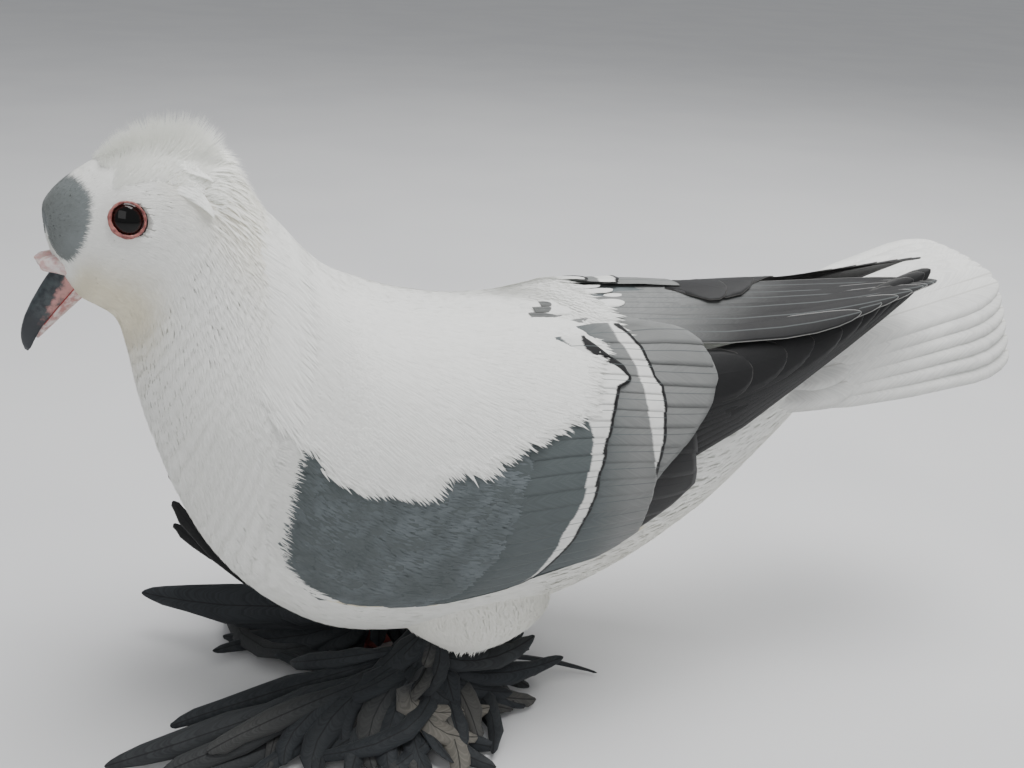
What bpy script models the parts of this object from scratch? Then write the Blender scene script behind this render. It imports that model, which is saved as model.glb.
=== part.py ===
"""A muffed, shell-crested wing pigeon, life size, standing on both feet.

The bird looks along -X, its left side is -Y and +Z is up. Sizes in this file are in millimetres, and each mesh
is turned to metres as it is made. The body is one smooth skin through named cross-sections, parted into
torso, neck and head by thin cuts. The wings lie on a bed of their own that runs on past the body to the wing
tips. At the end the whole bird is set down with its origin under the middle of its box, on the floor.
"""

import math

import bmesh
import bpy
import numpy as np

MM = 0.001
GAP = 0.35
FLAT_DEG = 2.0
LEFT, RIGHT = -1, 1

# The rear of the bird rolls to its left, about a line along the body.
LEAN_DEG = 20.0
LEAN_START_X, LEAN_END_X = 20.0, 150.0
LEAN_AXIS_X, LEAN_AXIS_Z, LEAN_AXIS_RISE = 95.0, 98.0, 0.4

# The neck turns the head to its left, about an upright line through the crown. The sections below are
# drawn as if it looked ahead, so the turn also draws the face out and lifts it.
HEAD_TURN_DEG = 14.0
HEAD_AXIS_X = -72.0
HEAD_TURN_Z = (108.0, 158.0)
HEAD_TURN_X = (-52.0, -24.0)
FACE_STRETCH, FACE_LIFT = 0.05, 0.09

# Cross-sections from tail to brow: lowest point x, z, highest point x, z, and half the width.
BODY_SECTIONS = [
    ("tail base", 136.0, 90.0, 132.0, 118.0, 12.0),
    ("rump", 114.0, 71.0, 111.0, 125.0, 22.0),
    ("vent", 92.0, 56.0, 91.0, 129.0, 31.0),
    ("flank", 68.0, 43.0, 68.0, 131.5, 38.5),
    ("hip", 42.0, 34.0, 43.0, 132.5, 44.0),
    ("loin", 16.0, 29.0, 17.0, 134.2, 47.5),
    ("keel", -10.0, 27.5, -8.0, 137.6, 49.0),
    ("crop", -35.0, 31.0, -22.0, 142.4, 48.0),
    ("breast", -56.0, 44.0, -32.0, 147.2, 44.5),
    ("chest", -70.0, 60.0, -40.0, 154.4, 39.5),
    ("neck base", -79.0, 78.0, -46.5, 162.5, 34.5),
    ("neck", -85.5, 97.0, -52.0, 169.0, 29.5),
    ("upper neck", -89.5, 113.0, -57.0, 175.5, 25.5),
    ("throat", -91.5, 127.0, -61.5, 181.0, 22.0),
    ("nape", -93.5, 136.5, -67.0, 186.0, 19.5),
    ("jaw", -98.0, 140.5, -76.0, 188.4, 17.5),
    ("cheek", -103.0, 143.5, -86.5, 187.4, 16.0),
    ("temple", -105.8, 147.0, -96.0, 183.4, 13.2),
    ("brow", -108.0, 152.0, -104.5, 177.6, 10.2),
    ("forehead", -109.6, 157.0, -109.4, 172.4, 6.6),
    ("front", -110.6, 161.5, -110.9, 169.0, 3.0),
]
SECTION = {row[0]: i for i, row in enumerate(BODY_SECTIONS)}
TORSO_FROM = SECTION["vent"] - 0.35
NECK_FROM = SECTION["neck base"] + 0.1
HEAD_FROM = SECTION["throat"] - 0.1
HEAD_TO = float(SECTION["front"])

# The surface that both folded wings lie on, in the same form.
WING_BED_SECTIONS = [
    (184.0, 133.0, 184.0, 150.0, 7.0),
    (160.0, 106.0, 160.0, 147.0, 14.0),
    (132.0, 78.0, 132.0, 142.5, 23.5),
    (106.0, 58.0, 106.0, 138.5, 32.0),
    (82.0, 46.0, 82.0, 136.0, 38.5),
    (60.0, 38.0, 60.0, 135.0, 42.5),
    (38.0, 33.0, 38.0, 135.0, 45.5),
    (16.0, 29.0, 17.0, 135.2, 48.0),
    (-10.0, 27.5, -8.0, 138.8, 49.5),
    (-35.0, 31.0, -22.0, 143.6, 48.5),
    (-56.0, 44.0, -32.0, 148.2, 45.0),
    (-70.0, 60.0, -40.0, 155.4, 40.0),
]
FULLNESS = 2.15

# The folded wing is charted on its bed by x and by s, the way down from the middle of the back.
# Outline of the shield: x, then its upper and its lower edge s.
SHIELD_OUTLINE = [
    (-57.0, 76.0, 90.0),
    (-52.0, 64.0, 101.0),
    (-42.0, 56.0, 110.0),
    (-20.0, 52.0, 110.5),
    (4.0, 46.0, 107.0),
    (24.0, 35.0, 101.5),
    (43.0, 19.0, 92.5),
]
SHIELD_IN, SHIELD_EDGE, SHIELD_SWELL = 0.9, 1.1, 3.2
FOLD_X = 43.0
REAR_IN, TIER_THICK, TIER_PITCH = 6.1, 0.75, 0.8
TIER_STEP, TIER_ROOT = 0.25, 4.1

# Tips of each tier on the shield, from its upper to its lower end.
SECONDARY_TIPS = [(80.0, 24.0), (88.0, 31.0), (83.0, 42.0), (75.0, 53.0), (67.0, 65.0), (60.0, 77.0)]
GREATER_TIPS = [(67.0, 27.0), (69.0, 40.0), (66.0, 55.0), (60.0, 70.0), (48.0, 85.0)]
MEDIAN_TIPS = [(56.0, 34.0), (52.0, 51.0), (44.0, 69.0), (31.0, 87.0)]
SCAPULAR_TIPS = [(50.0, 27.0), (36.0, 40.0), (16.0, 53.0), (-12.0, 65.0)]

# The right wing lies higher, with its inner feathers across the middle of the back.
RIGHT_WING_UP, RIGHT_WING_LOW_S = 42.0, 90.0
RIGHT_WING_X = (25.0, 62.0, 92.0, 132.0)
RIGHT_WING_LIFT, RIGHT_TIER_LIFT = 2.2, 2.9

# The flight feathers of the hand, innermost first: the root's and the tip's place on the chart.
PRIMARY_COUNT = 10
PRIMARY_ROOTS = ((57.0, 36.0), (55.0, 70.0))
PRIMARY_TIPS = [
    (93.0, 22.0), (104.0, 20.5), (116.0, 17.5), (127.0, 14.5), (138.0, 12.5),
    (148.0, 11.0), (157.0, 9.5), (165.0, 8.5), (171.0, 7.5), (173.0, 7.0),
]
PRIMARY_HALF_WIDTH = 6.8
PRIMARY_IN, PRIMARY_PITCH, PRIMARY_THICK = 0.9, 0.3, 0.7

EYE_X, EYE_Z, EYE_R = -92.0, 169.8, 4.9
EYE_PROUD = 1.6
LID_R, LID_THICK = 5.6, 1.15
BILL_GAPE = (-101.5, 154.8)
BILL_TIP = (-120.3, 128.3)
BILL_HALF_WIDTH = 4.5

CREST_VANES, CREST_HEIGHT = 13, 12.0
CREST_SPREAD_DEG, CREST_AHEAD = 86.0, 4.2
MANE_ROWS, MANE_PLACES = 5, (-0.62, -0.2, 0.2, 0.62)

TAIL_ROOT = (104.0, 0.0, 109.0)
TAIL_RISE_DEG = 14.0
TAIL_ROLL_DEG = 38.0
TAIL_LENGTH = 112.0
TAIL_FEATHERS = 12
TAIL_RUN_OUT = (7.0, 24.0, 25.0)
TAIL_HALF_WIDTH = 8.5
TAIL_PITCH, TAIL_THICK = 0.45, 0.85

# Feet: x and distance from the middle line. The right foot stands a step ahead.
FOOT_X = {LEFT: 0.0, RIGHT: -14.0}
FOOT_Y = 21.0
ANKLE_Z = 24.0
TOES = [(0.0, 27.0, 3.1), (38.0, 21.0, 2.7), (-38.0, 20.0, 2.7), (180.0, 15.0, 2.7)]

# Muff feathers: bearing from straight ahead, outwards positive, then length, height of the root and of the tip.
MUFF = {
    LEFT: [
        (-44, 34, 8, 3), (-20, 46, 9, 3), (-5, 74, 11, 2.5), (10, 104, 13, 3), (24, 92, 12, 2.5), (39, 80, 12, 2.5),
        (56, 68, 11, 2.5), (77, 58, 11, 2.5), (100, 48, 11, 2.5), (126, 40, 12, 3), (152, 38, 13, 3),
        (176, 44, 14, 4), (200, 54, 16, 7),
    ],
    RIGHT: [
        (-30, 26, 8, 3), (-16, 44, 9, 3), (-2, 60, 10, 5), (14, 78, 12, 7), (27, 86, 13, 5), (40, 76, 12, 4),
        (56, 66, 12, 3), (76, 58, 11, 2.5), (99, 50, 11, 2.5), (123, 44, 12, 3), (147, 52, 13, 5), (168, 66, 15, 9),
        (184, 84, 16, 15),
    ],
}
UPPER_MUFF = [(-12, 40), (22, 50), (56, 42), (94, 32), (140, 27)]
MUFF_HALF_WIDTH, MUFF_THICK = 6.8, 0.8
FLOOR_CLEARANCE = 0.8
STANDING_QUILL = [(-30.0, 30.0, 12.0), (-58.0, 38.0, 22.0), (-80.0, 41.0, 44.0), (-84.0, 42.0, 77.0)]

VANE_WIDTHS = [(0.0, 0.55), (0.35, 0.97), (0.74, 0.97), (0.93, 0.58), (1.0, 0.15)]
TIER_WIDTHS = [(0.0, 0.75), (0.6, 1.0), (1.0, 0.38)]
SHORT_WIDTHS = [(0.0, 0.75), (0.6, 1.0), (1.0, 0.25)]


def material(name, colour, roughness, metallic=0.0):
    made = bpy.data.materials.new(name)
    made.use_nodes = True
    shader = made.node_tree.nodes["Principled BSDF"]
    shader.inputs["Base Color"].default_value = (*colour, 1.0)
    shader.inputs["Roughness"].default_value = roughness
    shader.inputs["Metallic"].default_value = metallic
    return made


def rise(value, start, end):
    """0 before start, 1 after end, and a smooth rise between them."""
    share = np.clip((np.asarray(value, float) - start) / (end - start), 0.0, 1.0)
    return share * share * (3.0 - 2.0 * share)


def posed(points):
    """The points with the turn of the head and the roll of the rear body put in."""
    p = np.array(points, float).reshape(-1, 3)
    weight = rise(p[:, 2], *HEAD_TURN_Z) * (1.0 - rise(p[:, 0], *HEAD_TURN_X))
    ahead = HEAD_AXIS_X - p[:, 0]
    ahead_drawn = ahead * (1.0 + weight * FACE_STRETCH)
    p[:, 2] += weight * FACE_LIFT * np.maximum(ahead, 0.0)
    turn = math.radians(HEAD_TURN_DEG) * weight
    y = p[:, 1].copy()
    p[:, 0] = HEAD_AXIS_X - ahead_drawn * np.cos(turn) - y * np.sin(turn)
    p[:, 1] = y * np.cos(turn) - ahead_drawn * np.sin(turn)
    roll = math.radians(LEAN_DEG) * rise(p[:, 0], LEAN_START_X, LEAN_END_X)
    axis = LEAN_AXIS_Z + LEAN_AXIS_RISE * np.maximum(p[:, 0] - LEAN_AXIS_X, 0.0)
    y, z = p[:, 1].copy(), p[:, 2] - axis
    p[:, 1] = y * np.cos(roll) - z * np.sin(roll)
    p[:, 2] = y * np.sin(roll) + z * np.cos(roll) + axis
    return p


def power(value, exponent):
    return np.sign(value) * np.abs(value) ** exponent


class Loft:
    """A smooth skin through cross-sections. t counts sections and a is the angle from the top, left side first."""

    def __init__(self, rows):
        self.rows = np.array([row[-5:] for row in rows], float)

    def section(self, t):
        t = np.clip(np.asarray(t, float), 0.0, len(self.rows) - 1.0)
        i = np.minimum(t.astype(int), len(self.rows) - 2)
        f = (t - i)[..., None]
        last = len(self.rows) - 1
        p0, p1 = self.rows[np.maximum(i - 1, 0)], self.rows[i]
        p2, p3 = self.rows[i + 1], self.rows[np.minimum(i + 2, last)]
        return 0.5 * (
            2 * p1
            + (p2 - p0) * f
            + (2 * p0 - 5 * p1 + 4 * p2 - p3) * f**2
            + (3 * p1 - p0 - 3 * p2 + p3) * f**3
        )

    def surface(self, t, a):
        s = self.section(t)
        up = power(np.cos(a), 2.0 / FULLNESS)
        out = power(np.sin(a), 2.0 / FULLNESS)
        x = 0.5 * (s[..., 0] + s[..., 2]) + 0.5 * (s[..., 2] - s[..., 0]) * up
        z = 0.5 * (s[..., 1] + s[..., 3]) + 0.5 * (s[..., 3] - s[..., 1]) * up
        return np.stack([x, -s[..., 4] * out, z], -1)

    def point(self, t, a, out=0.0):
        """A point that stands out from the skin, and the skin's normal there."""
        t, a, out = np.broadcast_arrays(np.asarray(t, float), np.asarray(a, float), np.asarray(out, float))
        step = 0.02
        along = self.surface(t + step, a) - self.surface(t - step, a)
        round_ = self.surface(t, a + step) - self.surface(t, a - step)
        normal = np.cross(along, round_)
        normal /= np.linalg.norm(normal, axis=-1, keepdims=True)
        return self.surface(t, a) + normal * out[..., None], normal

    def find(self, x, z):
        """t and a of the place on the left side that is seen at x, z from the side."""
        x, z = np.broadcast_arrays(np.asarray(x, float), np.asarray(z, float))
        middle = 0.5 * (self.rows[:, 0] + self.rows[:, 2])
        t = np.interp(-x, -middle, np.arange(len(middle), dtype=float))
        for _ in range(12):
            s, ahead = self.section(t), self.section(t + 0.02)
            half = 0.5 * (s[..., 3] - s[..., 1])
            up = np.clip((z - 0.5 * (s[..., 1] + s[..., 3])) / half, -0.995, 0.995)
            here = 0.5 * (s[..., 0] + s[..., 2]) + 0.5 * (s[..., 2] - s[..., 0]) * up
            there = 0.5 * (ahead[..., 0] + ahead[..., 2]) + 0.5 * (ahead[..., 2] - ahead[..., 0]) * up
            t = np.clip(t + 0.02 * (x - here) / np.minimum(there - here, -1e-3), 0.0, len(middle) - 1.0)
        cosine = power(up, FULLNESS / 2.0)
        return t, np.arccos(np.clip(cosine, -1.0, 1.0))

    def draw_chart(self, longest=170.0):
        """Tables of x and of the angle over section and way down from the middle of the back, a step for each mm."""
        self.chart_t = np.linspace(0.0, len(self.rows) - 1.0, 60)
        angles = np.linspace(0.0, math.pi - 0.02, 120)
        grid = self.surface(self.chart_t[:, None], angles[None, :])
        steps = np.linalg.norm(np.diff(grid, axis=1), axis=-1)
        way = np.concatenate([np.zeros((len(grid), 1)), np.cumsum(steps, axis=1)], axis=1)
        self.chart_s = np.arange(longest)
        self.chart_a = np.array([np.interp(self.chart_s, row, angles) for row in way])
        self.chart_x = np.array([np.interp(self.chart_s, row, line[:, 0]) for row, line in zip(way, grid)])

    def chart(self, x, s, out=0.0):
        """The point at x and s that stands out from the bed. Below zero, s runs down the other side."""
        x, s, out = (np.array(v, float).ravel() for v in np.broadcast_arrays(x, s, out))
        across = np.where(s < 0.0, -1.0, 1.0)
        s = np.abs(s)
        places = np.zeros((len(x), 2))
        for i in range(len(x)):
            low = min(int(s[i]), len(self.chart_s) - 2)
            part = s[i] - low
            line = self.chart_x[:, low] * (1 - part) + self.chart_x[:, low + 1] * part
            angle = self.chart_a[:, low] * (1 - part) + self.chart_a[:, low + 1] * part
            t = np.interp(-x[i], -line, self.chart_t)
            places[i] = t, np.interp(t, self.chart_t, angle)
        place = self.point(places[:, 0], places[:, 1], out)[0]
        place[:, 1] *= across
        return place

    def flank(self, x, z, out=0.0):
        """The point and normal on the left side at x, z as seen from the side."""
        t, a = self.find(x, z)
        return self.point(t, a, out)


BODY = Loft(BODY_SECTIONS)
WING_BED = Loft(WING_BED_SECTIONS)
WING_BED.draw_chart()


def mesh_object(name, points, faces, finish, side=LEFT, pose=True):
    """An object from points in millimetres. The right side is the left side's mirror image."""
    points = np.array(points, float).reshape(-1, 3)
    if side == RIGHT:
        points = points * (1.0, -1.0, 1.0)
        faces = [tuple(reversed(face)) for face in faces]
    if pose:
        points = posed(points)
    mesh = bpy.data.meshes.new(name)
    mesh.from_pydata([tuple(p) for p in points * MM], [], [tuple(map(int, f)) for f in faces])
    mesh.materials.append(finish)
    made = bpy.data.objects.new(name, mesh)
    bpy.context.scene.collection.objects.link(made)
    return made


def face_outwards(made):
    work = bmesh.new()
    work.from_mesh(made.data)
    bmesh.ops.recalc_face_normals(work, faces=work.faces)
    if work.calc_volume(signed=True) < 0:
        bmesh.ops.reverse_faces(work, faces=work.faces)
    work.to_mesh(made.data)
    work.free()
    return made


def smooth(made, degrees=50.0):
    made.data.shade_smooth()
    made.data.set_sharp_from_angle(angle=math.radians(degrees))
    return made


def tube_faces(rings, sides):
    """Quads between rings of the same number of points, with fans to the two last points at the ends."""
    faces = []
    last, first_tip = (rings - 1) * sides, rings * sides
    for j in range(sides):
        k = (j + 1) % sides
        faces += [(i * sides + j, i * sides + k, (i + 1) * sides + k, (i + 1) * sides + j) for i in range(rings - 1)]
        faces += [(k, j, first_tip), (last + j, last + k, first_tip + 1)]
    return faces


def tube(name, rings, finish, tip=None, side=LEFT, pose=True):
    """A closed body through rings of points, ending flat or in the point tip."""
    rings = [np.asarray(ring, float) for ring in rings]
    ends = [rings[0].mean(0), rings[-1].mean(0) if tip is None else np.array(tip, float)]
    faces = tube_faces(len(rings), len(rings[0]))
    return face_outwards(mesh_object(name, np.concatenate(rings + [ends]), faces, finish, side, pose))


def skin_rings(first, last, count, sides, out=0.0):
    """Rings of the body's skin, with the end rings drawn in by half the gap so that neighbours stay apart."""
    angles = np.linspace(0.0, 2.0 * math.pi, sides, endpoint=False)
    rings = []
    for t in np.linspace(first, last, count):
        ring, _ = BODY.point(np.full(sides, t), angles, out)
        rings.append(ring)
    for ring, inner in ((rings[0], rings[1]), (rings[-1], rings[-2])):
        normal = np.cross(ring[sides // 4] - ring[0], ring[sides // 2] - ring[0])
        normal /= np.linalg.norm(normal)
        if normal @ (inner.mean(0) - ring.mean(0)) < 0:
            normal = -normal
        ring += normal * GAP / 2.0
    return rings


def ball(name, centre, radius, finish, side=LEFT, pose=True, segments=12, stretch=(1.0, 1.0, 1.0)):
    work = bmesh.new()
    bmesh.ops.create_uvsphere(work, u_segments=segments, v_segments=segments // 2, radius=1.0)
    points = [np.array(v.co) * np.array(stretch) * radius + np.array(centre) for v in work.verts]
    faces = [[v.index for v in f.verts] for f in work.faces]
    work.free()
    return face_outwards(mesh_object(name, points, faces, finish, side, pose))


def keep_largest(made):
    """Leaves only the largest closed surface of the mesh."""
    work = bmesh.new()
    work.from_mesh(made.data)
    bmesh.ops.dissolve_degenerate(work, dist=1e-7, edges=work.edges)
    left = set(work.faces)
    shells = []
    while left:
        shell, front = set(), [left.pop()]
        while front:
            face = front.pop()
            shell.add(face)
            for edge in face.edges:
                for other in edge.link_faces:
                    if other in left:
                        left.discard(other)
                        front.append(other)
        shells.append(shell)
    size = [sum(f.calc_area() for f in shell) for shell in shells]
    largest = shells[size.index(max(size))]
    loose = [f for shell in shells if shell is not largest for f in shell]
    bmesh.ops.delete(work, geom=loose, context="FACES")
    bmesh.ops.dissolve_limit(
        work, angle_limit=math.radians(FLAT_DEG), verts=work.verts, edges=work.edges, use_dissolve_boundaries=False
    )
    bmesh.ops.triangulate(work, faces=work.faces)
    work.to_mesh(made.data)
    work.free()
    return made


def boolean(made, others, operation, solver="MANIFOLD"):
    """Joins the others to made, or cuts them from it, and removes them."""
    group = bpy.data.collections.new(made.name + "_pieces")
    bpy.context.scene.collection.children.link(group)
    for other in others:
        bpy.context.scene.collection.objects.unlink(other)
        group.objects.link(other)
    step = made.modifiers.new("join", "BOOLEAN")
    step.operation = operation
    step.operand_type = "COLLECTION"
    step.collection = group
    step.solver = solver
    bpy.context.view_layer.update()
    graph = bpy.context.evaluated_depsgraph_get()
    joined = bpy.data.meshes.new_from_object(made.evaluated_get(graph))
    finish = made.data.materials[0]
    made.modifiers.clear()
    made.data = joined
    made.data.materials.clear()
    made.data.materials.append(finish)
    for other in list(group.objects):
        bpy.data.objects.remove(other)
    bpy.data.collections.remove(group)
    return keep_largest(made)


def plate(name, inner, outer, finish, side=LEFT, pose=True):
    """A closed plate between two grids of points, split into triangles alike on both faces."""
    rows, columns = inner.shape[:2]
    points = np.concatenate([inner.reshape(-1, 3), outer.reshape(-1, 3)])
    count = rows * columns
    faces = []
    for i in range(rows - 1):
        for j in range(columns - 1):
            a, b = i * columns + j, i * columns + j + 1
            c, d = a + columns, b + columns
            faces += [(a, b, d), (a, d, c)]
            faces += [(count + a, count + d, count + b), (count + a, count + c, count + d)]
    rim = [j for j in range(columns)]
    rim += [i * columns + columns - 1 for i in range(1, rows)]
    rim += [(rows - 1) * columns + j for j in range(columns - 2, -1, -1)]
    rim += [i * columns for i in range(rows - 2, 0, -1)]
    for a, b in zip(rim, rim[1:] + rim[:1]):
        faces += [(a, count + a, count + b), (a, count + b, b)]
    return face_outwards(mesh_object(name, points, faces, finish, side, pose))


def unit(vectors):
    vectors = np.asarray(vectors, float)
    return vectors / np.linalg.norm(vectors, axis=-1, keepdims=True)


def bend(root, control, tip, shares):
    """Points of a quadratic curve from root to tip."""
    u = np.asarray(shares, float)[:, None]
    root, control, tip = (np.asarray(v, float) for v in (root, control, tip))
    return root * (1 - u) ** 2 + 2 * control * u * (1 - u) + tip * u**2


def spline(points, shares):
    """Points along a smooth curve through the given points."""
    rows = np.asarray(points, float)
    last = len(rows) - 1
    placed = []
    for u in np.asarray(shares, float) * last:
        i = min(int(u), last - 1)
        f = u - i
        p0, p1, p2, p3 = rows[max(i - 1, 0)], rows[i], rows[i + 1], rows[min(i + 2, last)]
        placed.append(0.5 * (2 * p1 + (p2 - p0) * f + (2 * p0 - 5 * p1 + 4 * p2 - p3) * f * f
                             + (3 * p1 - p0 - 3 * p2 + p3) * f**3))
    return np.array(placed)


def blade(name, centres, across, half_width, thick, finish, side=LEFT, widths=VANE_WIDTHS, pose=True):
    """A closed vane along centres, flat in the direction across."""
    shares = np.array([w[0] for w in widths])
    width = np.array([w[1] for w in widths]) * half_width
    along = unit(np.gradient(centres, axis=0))
    across = unit(across - (across * along).sum(-1, keepdims=True) * along)
    normal = np.cross(along, across)
    deep = thick * (1.0 - 0.55 * shares**2)
    middle = np.array([[c + across[i] * width[i] * k for k in (-1.0, 1.0)] for i, c in enumerate(centres)])
    offset = normal[:, None, :] * deep[:, None, None] / 2.0
    return plate(name, middle - offset, middle + offset, finish, side, pose)


def shares_of(widths):
    return [w[0] for w in widths]


def chart_vane(name, root, control, tip, half_width, base, thick, finish, side, widths=VANE_WIDTHS):
    """A closed vane that lies on the wing's bed, from a root to a tip given on its chart."""
    shares = np.array(shares_of(widths))
    line = bend(root, control, tip, shares)
    along = unit(np.gradient(line, axis=0))
    across = np.stack([-along[:, 1], along[:, 0]], -1)
    width = (np.array([w[1] for w in widths]) * half_width)[:, None]
    base = np.interp(shares, [0.0, 0.2], base)
    top = base + thick * (1.0 - 0.4 * shares**2)
    inner, outer = [], []
    for edge in (line - across * width, line + across * width):
        inner.append(wing_point(side, edge[:, 0], edge[:, 1], base))
        outer.append(wing_point(side, edge[:, 0], edge[:, 1], top))
    return plate(name, np.stack(inner, 1), np.stack(outer, 1), finish, side)


def across_back(side, x):
    """How far the right wing is drawn up there, from 0 to 1."""
    start, full, last, end = RIGHT_WING_X
    return rise(x, start, full) * (1.0 - rise(x, last, end)) * (side == RIGHT)


def wing_point(side, x, s, out):
    """The point that stands out from the bed at a place on the wing, drawn up and across the back on the right."""
    x, s, out = np.broadcast_arrays(np.asarray(x, float), np.asarray(s, float), np.asarray(out, float))
    share = across_back(side, x)
    drawn = s - RIGHT_WING_UP * share * np.clip(1.0 - s / RIGHT_WING_LOW_S, 0.0, 1.0)
    return WING_BED.chart(x, drawn, out + RIGHT_WING_LIFT * share)


def body_cutter(first, last, count, finish, out=GAP, sides=36):
    """The body's skin swollen by the gap, to cut neighbours clear of it."""
    angles = np.linspace(0.0, 2.0 * math.pi, sides, endpoint=False)
    rings = [BODY.point(np.full(sides, t), angles, out)[0] for t in np.linspace(first, last, count)]
    return tube("cutter", rings, finish)


def torso(finish):
    return smooth(tube("torso", skin_rings(TORSO_FROM, NECK_FROM, 17, 26), finish))


def neck(finish):
    """The neck with the ragged mane that runs down its nape."""
    made = tube("neck", skin_rings(NECK_FROM, HEAD_FROM, 7, 26), finish)
    locks = []
    for row in range(MANE_ROWS):
        share = row / (MANE_ROWS - 1.0)
        t = NECK_FROM + 0.75 + (HEAD_FROM - NECK_FROM - 0.95) * (1.0 - share)
        for place in MANE_PLACES:
            angle = place + 0.2 * (row % 2 - 0.5)
            root, normal = BODY.point(t, angle, -1.6)
            back = unit(BODY.surface(t - 0.3, angle) - BODY.surface(t + 0.3, angle))
            reach = 12.5 - 3.0 * share
            tip = root + back * reach + normal * (4.6 - 1.0 * share)
            line = bend(root, root + back * reach * 0.4 + normal * 3.0, tip, shares_of(SHORT_WIDTHS))
            across = np.cross(normal, back)
            locks.append(blade("lock", line, across, 3.4, 0.9, finish, LEFT, SHORT_WIDTHS))
    return smooth(boolean(made, locks, "UNION"))


def eye_centre():
    point, normal = BODY.flank(EYE_X, EYE_Z)
    return point - normal * (EYE_R - EYE_PROUD), normal


def lid_ring(side, finish, sides=16, round_=5):
    """The fleshy ring of the lids, sunk in the head round the eye."""
    centre, normal = eye_centre()
    up = unit(np.array([0.0, 0.0, 1.0]) - normal * normal[2])
    fore = np.cross(up, normal)
    points = []
    for i in range(sides):
        turn = 2.0 * math.pi * i / sides
        out = fore * math.cos(turn) * 1.06 + up * math.sin(turn) * 0.94
        middle = centre + out * (LID_R - 0.7) + normal * (EYE_R - EYE_PROUD + 0.25)
        for j in range(round_):
            roll = 2.0 * math.pi * j / round_
            points.append(middle + (out * math.cos(roll) + normal * math.sin(roll)) * LID_THICK)
    faces = []
    for i in range(sides):
        for j in range(round_):
            a, b = i * round_ + j, i * round_ + (j + 1) % round_
            c, d = (i + 1) % sides * round_ + j, (i + 1) % sides * round_ + (j + 1) % round_
            faces.append((a, b, d, c))
    return face_outwards(mesh_object("lids", points, faces, finish, side))


def crest(finish):
    """The shell from ear to ear: two tiers of vanes that rise behind the crown and curl forward."""
    vanes = []
    for tier_ in range(2):
        count = CREST_VANES - tier_
        for i in range(count):
            place = -1.0 + 2.0 * i / (count - 1.0)
            angle = math.radians(CREST_SPREAD_DEG) * place
            ahead = CREST_AHEAD * max(-place, 0.0) * (1.15 + place)
            t = SECTION["nape"] + 1.0 - 0.32 * tier_ - 0.95 * abs(place) ** 1.6 + ahead
            root, normal = BODY.point(t, angle, -1.8)
            fore = unit(BODY.surface(t + 0.4, angle) - BODY.surface(t, angle))
            reach = CREST_HEIGHT * (1.0 - 0.14 * tier_) * (1.0 - 0.12 * place**2) * (0.95 + 0.05 * math.cos(7.0 * i))
            curl = 0.5 - 1.5 * place**2 - 0.1 * tier_
            stand = 1.0 - 0.45 * place**2
            tip = root + normal * reach * stand + fore * reach * curl
            line = bend(root, root + normal * reach * 0.6 - fore * reach * 0.1, tip, shares_of(SHORT_WIDTHS))
            vanes.append(blade("shell", line, np.cross(normal, fore), 3.5, 0.9, finish, LEFT, SHORT_WIDTHS))
    return vanes


def head(finish):
    made = tube("head", skin_rings(HEAD_FROM, HEAD_TO, 15, 26), finish)
    grown = crest(finish) + [lid_ring(side, finish) for side in (LEFT, RIGHT)]
    boolean(made, grown, "UNION")
    sockets = [ball("socket", eye_centre()[0], EYE_R + GAP, finish, side) for side in (LEFT, RIGHT)]
    return smooth(boolean(made, sockets, "DIFFERENCE"))


def eye(side, finish):
    name = "eye_left" if side == LEFT else "eye_right"
    return smooth(ball(name, eye_centre()[0], EYE_R, finish, side))


def bill_axes():
    """Along the bill and across it towards the ridge, in the x, z plane."""
    along = np.array([BILL_TIP[0] - BILL_GAPE[0], BILL_TIP[1] - BILL_GAPE[1]])
    length = np.linalg.norm(along)
    along /= length
    return along, np.array([along[1], -along[0]]), length


def bill_ring(share, height, half_width, base, sides=11):
    """Half an ellipse from the mouth line out to height, closed by the flat mouth side."""
    along, across, length = bill_axes()
    centre = np.array(BILL_GAPE) + along * share * length + across * base
    ring = []
    for a in np.linspace(0.0, math.pi, sides):
        flat = centre + across * height * math.sin(a)
        ring.append((flat[0], -half_width * math.cos(a), flat[1]))
    return ring


def bill_half(name, rows, tip_share, tip_base, finish):
    """One mandible from rows of place along the bill, height, width and lift off the mouth line."""
    rings = [bill_ring(s, h, BILL_HALF_WIDTH * w, b) for s, h, w, b in rows]
    along, across, length = bill_axes()
    tip = np.array(BILL_GAPE) + along * length * tip_share + across * tip_base
    made = tube(name, rings, finish, tip=(tip[0], 0.0, tip[1]))
    clear = body_cutter(HEAD_FROM - 1.0, HEAD_TO, 24, finish)
    return smooth(boolean(made, [clear], "DIFFERENCE"))


def bill_upper(finish):
    rows = [
        (0.0, 7.4, 1.0, 0.2), (0.2, 7.2, 0.98, 0.2), (0.4, 6.3, 0.86, 0.2), (0.58, 5.4, 0.7, 0.15),
        (0.74, 4.7, 0.52, -0.1), (0.88, 4.0, 0.36, -0.9), (0.96, 2.6, 0.22, -1.3),
    ]
    return bill_half("bill_upper", rows, 1.0, -1.0, finish)


def bill_lower(finish):
    rows = [(0.0, -5.2, 0.98, -0.2), (0.2, -4.6, 0.92, -0.2), (0.42, -3.6, 0.74, -0.2), (0.6, -2.7, 0.52, -0.25),
            (0.74, -1.8, 0.34, -0.5)]
    return bill_half("bill_lower", rows, 0.84, -1.7, finish)


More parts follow.
